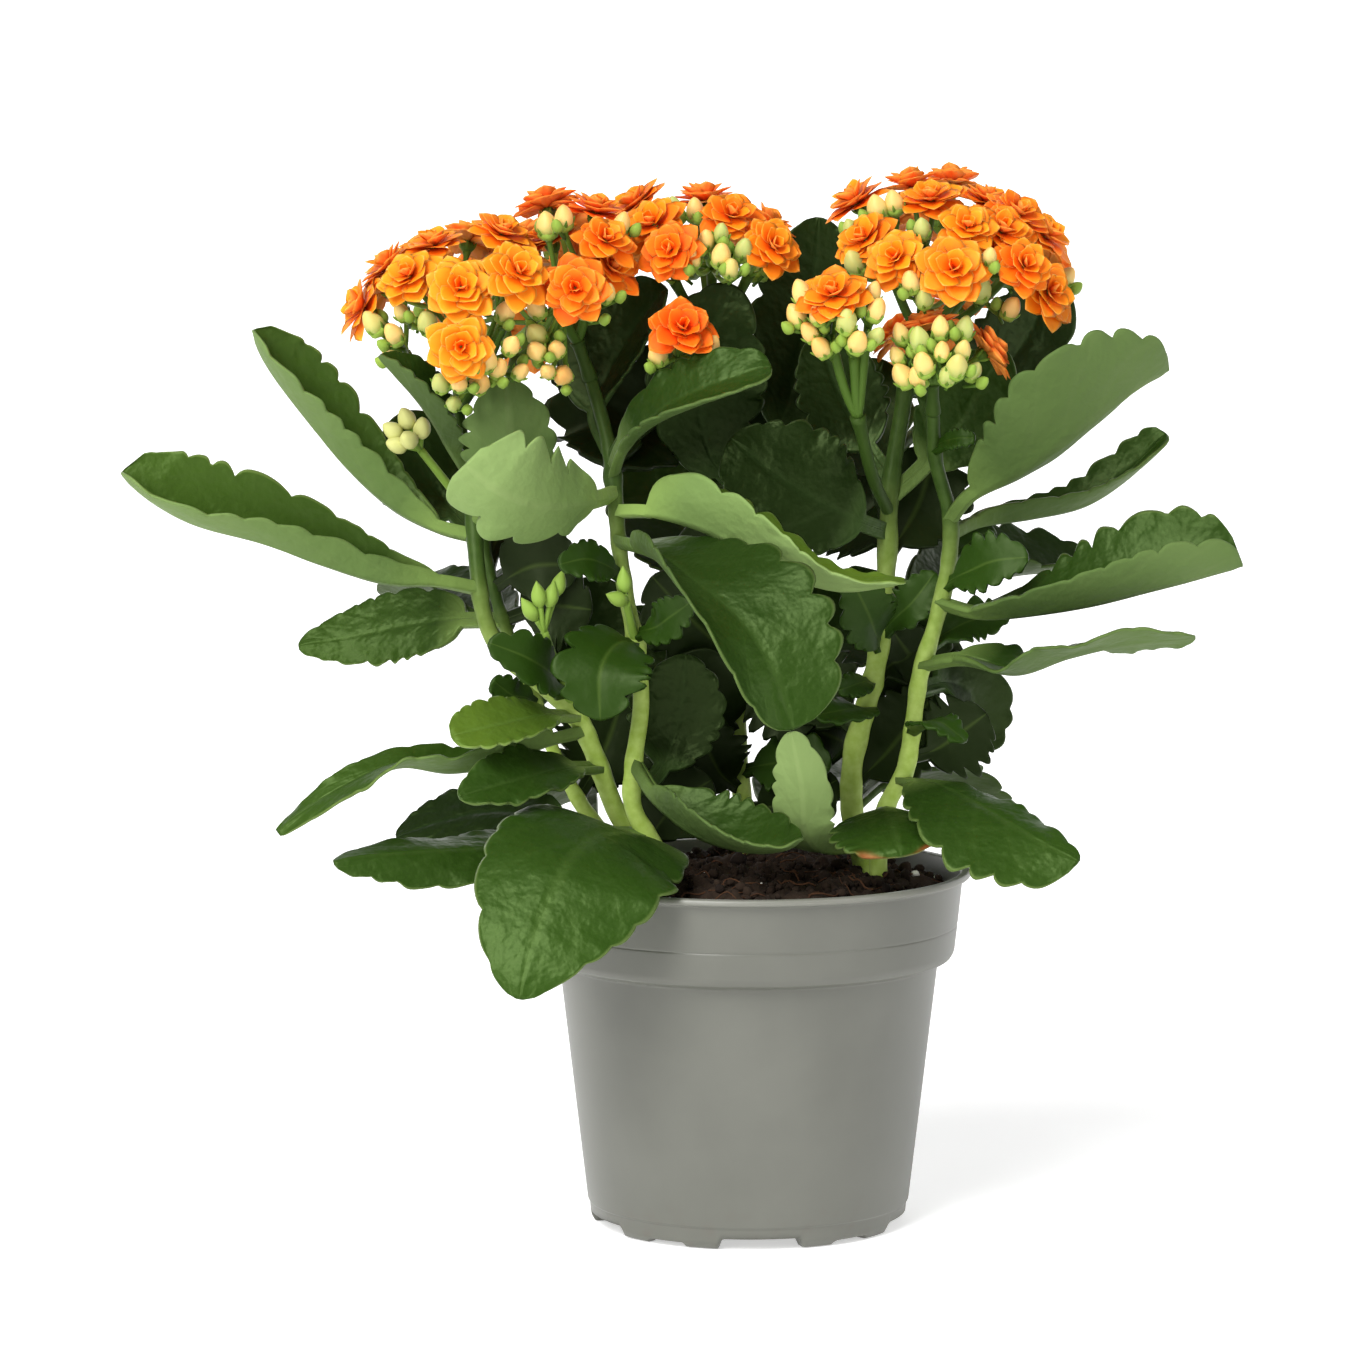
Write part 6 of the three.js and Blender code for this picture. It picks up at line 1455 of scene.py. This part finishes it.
def make_pot():
    """The pot is a turned wall, with its foot ring lifted at the notches and holes in its floor."""
    line = mix(COLLAR_BOTTOM_RADIUS, COLLAR_TOP_RADIUS, (COLLAR_LINE - COLLAR_BOTTOM) / COLLAR_HEIGHT)
    outline = [
        [0.2, 0],
        [CENTRE_PAD_RADIUS, 0],
        [CENTRE_PAD_RADIUS + 2.5, CHANNEL_HEIGHT],
        [FOOT_RING_INNER - 2, CHANNEL_HEIGHT],
        [FOOT_RING_INNER, 0],
        [BODY_FOOT_RADIUS - 1.6, 0],
        [BODY_FOOT_RADIUS - 0.5, 1.8],
        [BODY_FOOT_RADIUS - 0.2, FOOT_LINE - 0.2],
        [BODY_FOOT_RADIUS + 0.3, FOOT_LINE + 0.2],
        [BODY_TOP_RADIUS, COLLAR_BOTTOM - 2.4],
        [COLLAR_BOTTOM_RADIUS - 1, COLLAR_BOTTOM - 1.2],
        [COLLAR_BOTTOM_RADIUS, COLLAR_BOTTOM + 0.6],
        [line, COLLAR_LINE - 0.35],
        [line - 0.18, COLLAR_LINE],
        [line + 0.05, COLLAR_LINE + 0.35],
        [COLLAR_TOP_RADIUS, POT_HEIGHT - LIP_DEPTH - 0.4],
        [LIP_RADIUS, POT_HEIGHT - LIP_DEPTH],
        [LIP_RADIUS - 0.3, POT_HEIGHT],
        [COLLAR_TOP_RADIUS - 0.6, POT_HEIGHT],
        [COLLAR_BOTTOM_RADIUS - WALL, COLLAR_BOTTOM + 1],
        [BODY_TOP_RADIUS - WALL, COLLAR_BOTTOM - 1.6],
        [BODY_FOOT_RADIUS - WALL, FLOOR_TOP],
        [0.2, FLOOR_TOP],
    ]
    profile = rounded(outline, 0.7)
    rings, turn = turned(profile, POT_SIDES)
    in_foot = (profile[:, 0] > FOOT_RING_INNER - 2.1) & (profile[:, 1] < CHANNEL_HEIGHT)
    in_foot &= profile[:, 0] < BODY_FOOT_RADIUS + 1
    rings[in_foot, :, 2] = np.maximum(rings[in_foot, :, 2], notch_height(turn)[None, :])
    shape = Shape("height")
    shape.tube(rings, np.linspace(0, 1, len(profile)), height=rings[..., 2] / POT_HEIGHT)
    pot = shape.piece("fine_pot", POT, "pot", "pot")

    holes = Shape()
    for k in range(DRAIN_HOLES):
        turn = (k + 0.5) * 2 * np.pi / DRAIN_HOLES
        x, y = DRAIN_CIRCLE * np.cos(turn), DRAIN_CIRCLE * np.sin(turn)
        holes.rod([[x, y, -2], [x, y, 2.5 * FLOOR_TOP]], DRAIN_RADIUS, 32)
    cut_away(pot, holes)


def cut_away(thing, holes):
    """Cuts the holes shape out of an object's mesh, with no cutter and no modifier left behind."""
    mesh = bpy.data.meshes.new("cutter")
    faces = np.concatenate(holes.faces)
    mesh.from_pydata((np.concatenate(holes.points) / 1000).tolist(), [], faces.tolist())
    cutter = placed("cutter", mesh)
    cut = thing.modifiers.new("cut", "BOOLEAN")
    cut.operation = "DIFFERENCE"
    cut.solver = "EXACT"
    cut.object = cutter
    ready = thing.evaluated_get(bpy.context.evaluated_depsgraph_get())
    finished = bpy.data.meshes.new_from_object(ready)
    thing.modifiers.clear()
    thing.data = finished
    bpy.data.objects.remove(cutter)


def soil_height(x, y):
    """Low mound, from SOIL_CROWN in the middle to SOIL_EDGE at the wall, with two slow waves over it."""
    radius = np.hypot(x, y)
    slope = [SOIL_CROWN, SOIL_CROWN, mix(SOIL_EDGE, SOIL_CROWN, 0.6), SOIL_EDGE]
    mound = np.interp(radius, [0, 20, 42, SOIL_RADIUS], slope)
    rough = np.sin(0.31 * x + 0.4) * np.cos(0.27 * y) + 0.6 * np.sin(0.83 * x - 0.61 * y)
    return mound + (1 - ease(40, 54, radius)) * rough


def crumble(x, y, draw):
    """Sum of plane waves in random directions, from 2 to 14 mm long, each lower as it is shorter."""
    total = np.zeros_like(x)
    for _ in range(SOIL_WAVES):
        length = draw.uniform(2, 14)
        turn, start = draw.uniform(0, 2 * np.pi, 2)
        waves = (x * np.cos(turn) + y * np.sin(turn)) / length
        total += 0.035 * length**0.6 * np.sin(2 * np.pi * waves + start)
    return total


def place_on_soil(draw, margin):
    """A random place on the soil, as likely in each part of it, a margin away from the wall."""
    reach = (SOIL_RADIUS - margin) * math.sqrt(draw.uniform(0, 1))
    turn = draw.uniform(0, 2 * np.pi)
    return reach * math.cos(turn), reach * math.sin(turn)


def make_soil():
    """A turned body whose top rings lie on the mound and its crumble, with loose crumbs and fibres."""
    draw = np.random.default_rng(7)
    shape = Shape("kind", "shade")
    side = [
        [SOIL_RADIUS - 0.4, SOIL_EDGE - 2],
        [BODY_TOP_RADIUS - 2.2, COLLAR_BOTTOM - 1.6],
        [BODY_FOOT_RADIUS - 2.2, FLOOR_TOP + 0.4],
        [0.3, FLOOR_TOP + 0.4],
    ]
    top = np.stack([np.linspace(0.3, SOIL_RADIUS, SOIL_RINGS), np.ones(SOIL_RINGS)], 1)
    rings, _ = turned(np.concatenate([top, side]), SOIL_SIDES, -1)
    x, y = rings[:SOIL_RINGS, :, 0], rings[:SOIL_RINGS, :, 1]
    fade = 1 - ease(SOIL_RADIUS - 2, SOIL_RADIUS, np.hypot(x, y))
    rings[:SOIL_RINGS, :, 2] = soil_height(x, y) + crumble(x, y, draw) * fade
    shape.tube(rings, np.linspace(0, 1, len(rings)), kind=0, shade=0.5)

    for _ in range(CRUMBS):
        x, y = place_on_soil(draw, 2.5)
        size = draw.uniform(0.6, 1.7) * (1.5 if draw.uniform() < 0.12 else 1)
        axis = unit(draw.normal(0, 1, 3))
        base = np.array([x, y, float(soil_height(x, y)) + draw.uniform(-0.3, 0.9) * size]) - axis * size
        white = draw.uniform() < 0.035
        size *= 0.6 if white else 1
        spindle(
            shape, base, axis, size * draw.uniform(0.6, 1), 2 * size, 0,
            rows=5, around=6, kind=1 if white else 0, shade=draw.uniform(0, 1),
        )
    for _ in range(FIBRES):
        x, y = place_on_soil(draw, 9)
        heading, length, bend = draw.uniform(0, 2 * np.pi), draw.uniform(4, 13), draw.uniform(-1.2, 1.2)
        t = np.linspace(-0.5, 0.5, 8)
        way = heading + bend * t
        path_x, path_y = x + length * t * np.cos(way), y + length * t * np.sin(way)
        height = soil_height(path_x, path_y) + 0.9 + draw.uniform(-0.4, 1.2) * np.cos(np.pi * t)
        fibre = np.stack([path_x, path_y, height], 1)
        shape.rod(fibre, draw.uniform(0.12, 0.3), 5, kind=0.5, shade=draw.uniform(0, 1))
    shape.piece("fine_soil", SOIL, "soil", "soil")


# Camera, floor and light

def make_floor():
    """White paper sweep: a flat floor that bends up behind the pot as a quarter circle into a wall."""
    turn = np.linspace(0, np.pi / 2, 25)
    depth = SWEEP_START + SWEEP_RADIUS * np.concatenate([np.sin(turn), [1]])
    depth = np.concatenate([[-20], depth])
    height = np.concatenate([[0], SWEEP_RADIUS * (1 - np.cos(turn)), [2 * SWEEP_RADIUS]])
    corners = [(x, y, z - 0.0002) for y, z in zip(depth, height) for x in (-20, 20)]
    faces = [(2 * k, 2 * k + 1, 2 * k + 3, 2 * k + 2) for k in range(len(depth) - 1)]
    mesh = bpy.data.meshes.new("floor")
    mesh.from_pydata(corners, [], faces)
    mesh.polygons.foreach_set("use_smooth", np.ones(len(faces), bool))
    look = Look("floor_paper", Roughness=0.9, Specular_IOR_Level=0.1, Emission_Color=(1, 1, 1, 1))
    look.colour((0.92, 0.92, 0.92))
    to_camera = look.node("ShaderNodeLightPath").outputs["Is Camera Ray"]
    glow = look.sum("ADD", look.times(to_camera, CAMERA_GLOW), FLOOR_GLOW)
    look.link(glow, look.shader.inputs["Emission Strength"])
    mesh.materials.append(look.material)
    placed("floor", mesh)


def make_sun(name, turn, watts, spread):
    """Soft even daylight, turned in degrees about X and Z."""
    lamp = bpy.data.lights.new(name, "SUN")
    lamp.energy = watts
    lamp.angle = math.radians(spread)
    placed(name, lamp).rotation_euler = (math.radians(turn[0]), 0, math.radians(turn[1]))


def make_light(name, place, aim, size, watts):
    """Soft square lamp at a place in metres, turned towards its aim."""
    lamp = bpy.data.lights.new(name, "AREA")
    lamp.size = size
    lamp.energy = watts
    thing = placed(name, lamp)
    thing.location = place
    way = np.asarray(aim, float) - np.asarray(place, float)
    reach = math.hypot(way[0], way[1])
    thing.rotation_euler = (math.atan2(reach, -way[2]), 0, math.atan2(way[1], way[0]) - math.pi / 2)


def make_camera():
    """The camera stands at the eye that the places were read from, tipped down by EYE_PITCH."""
    lens = bpy.data.cameras.new("camera")
    lens.sensor_width = SENSOR_WIDTH
    lens.lens = VIEW_FOCUS / VIEW_WIDTH * SENSOR_WIDTH
    lens.clip_end = 50
    camera = placed("camera", lens)
    camera.location = (EYE_X / 1000, -EYE_DISTANCE / 1000, EYE_HEIGHT / 1000)
    camera.rotation_euler = (math.pi / 2 - EYE_PITCH, 0, 0)
    bpy.context.scene.camera = camera


def make_world():
    """Faint white light from all round."""
    world = bpy.data.worlds.new("studio")
    world.use_nodes = True
    back = world.node_tree.nodes["Background"]
    back.inputs["Color"].default_value = (1, 1, 1, 1)
    back.inputs["Strength"].default_value = 0.25
    bpy.context.scene.world = world


make_pot()
make_soil()
make_stems()
make_leaves()
make_heads()
make_floor()
make_camera()
make_world()
make_sun("daylight", (40, -30), 2.4, 30)
make_light("softbox_left", (-0.75, -1.25, 0.75), (0, 0, 0.13), 0.7, 13)
make_light("softbox_right", (1.2, -0.7, 0.8), (0, 0, 0.13), 0.7, 4)
bpy.context.scene.view_settings.view_transform = "Standard"
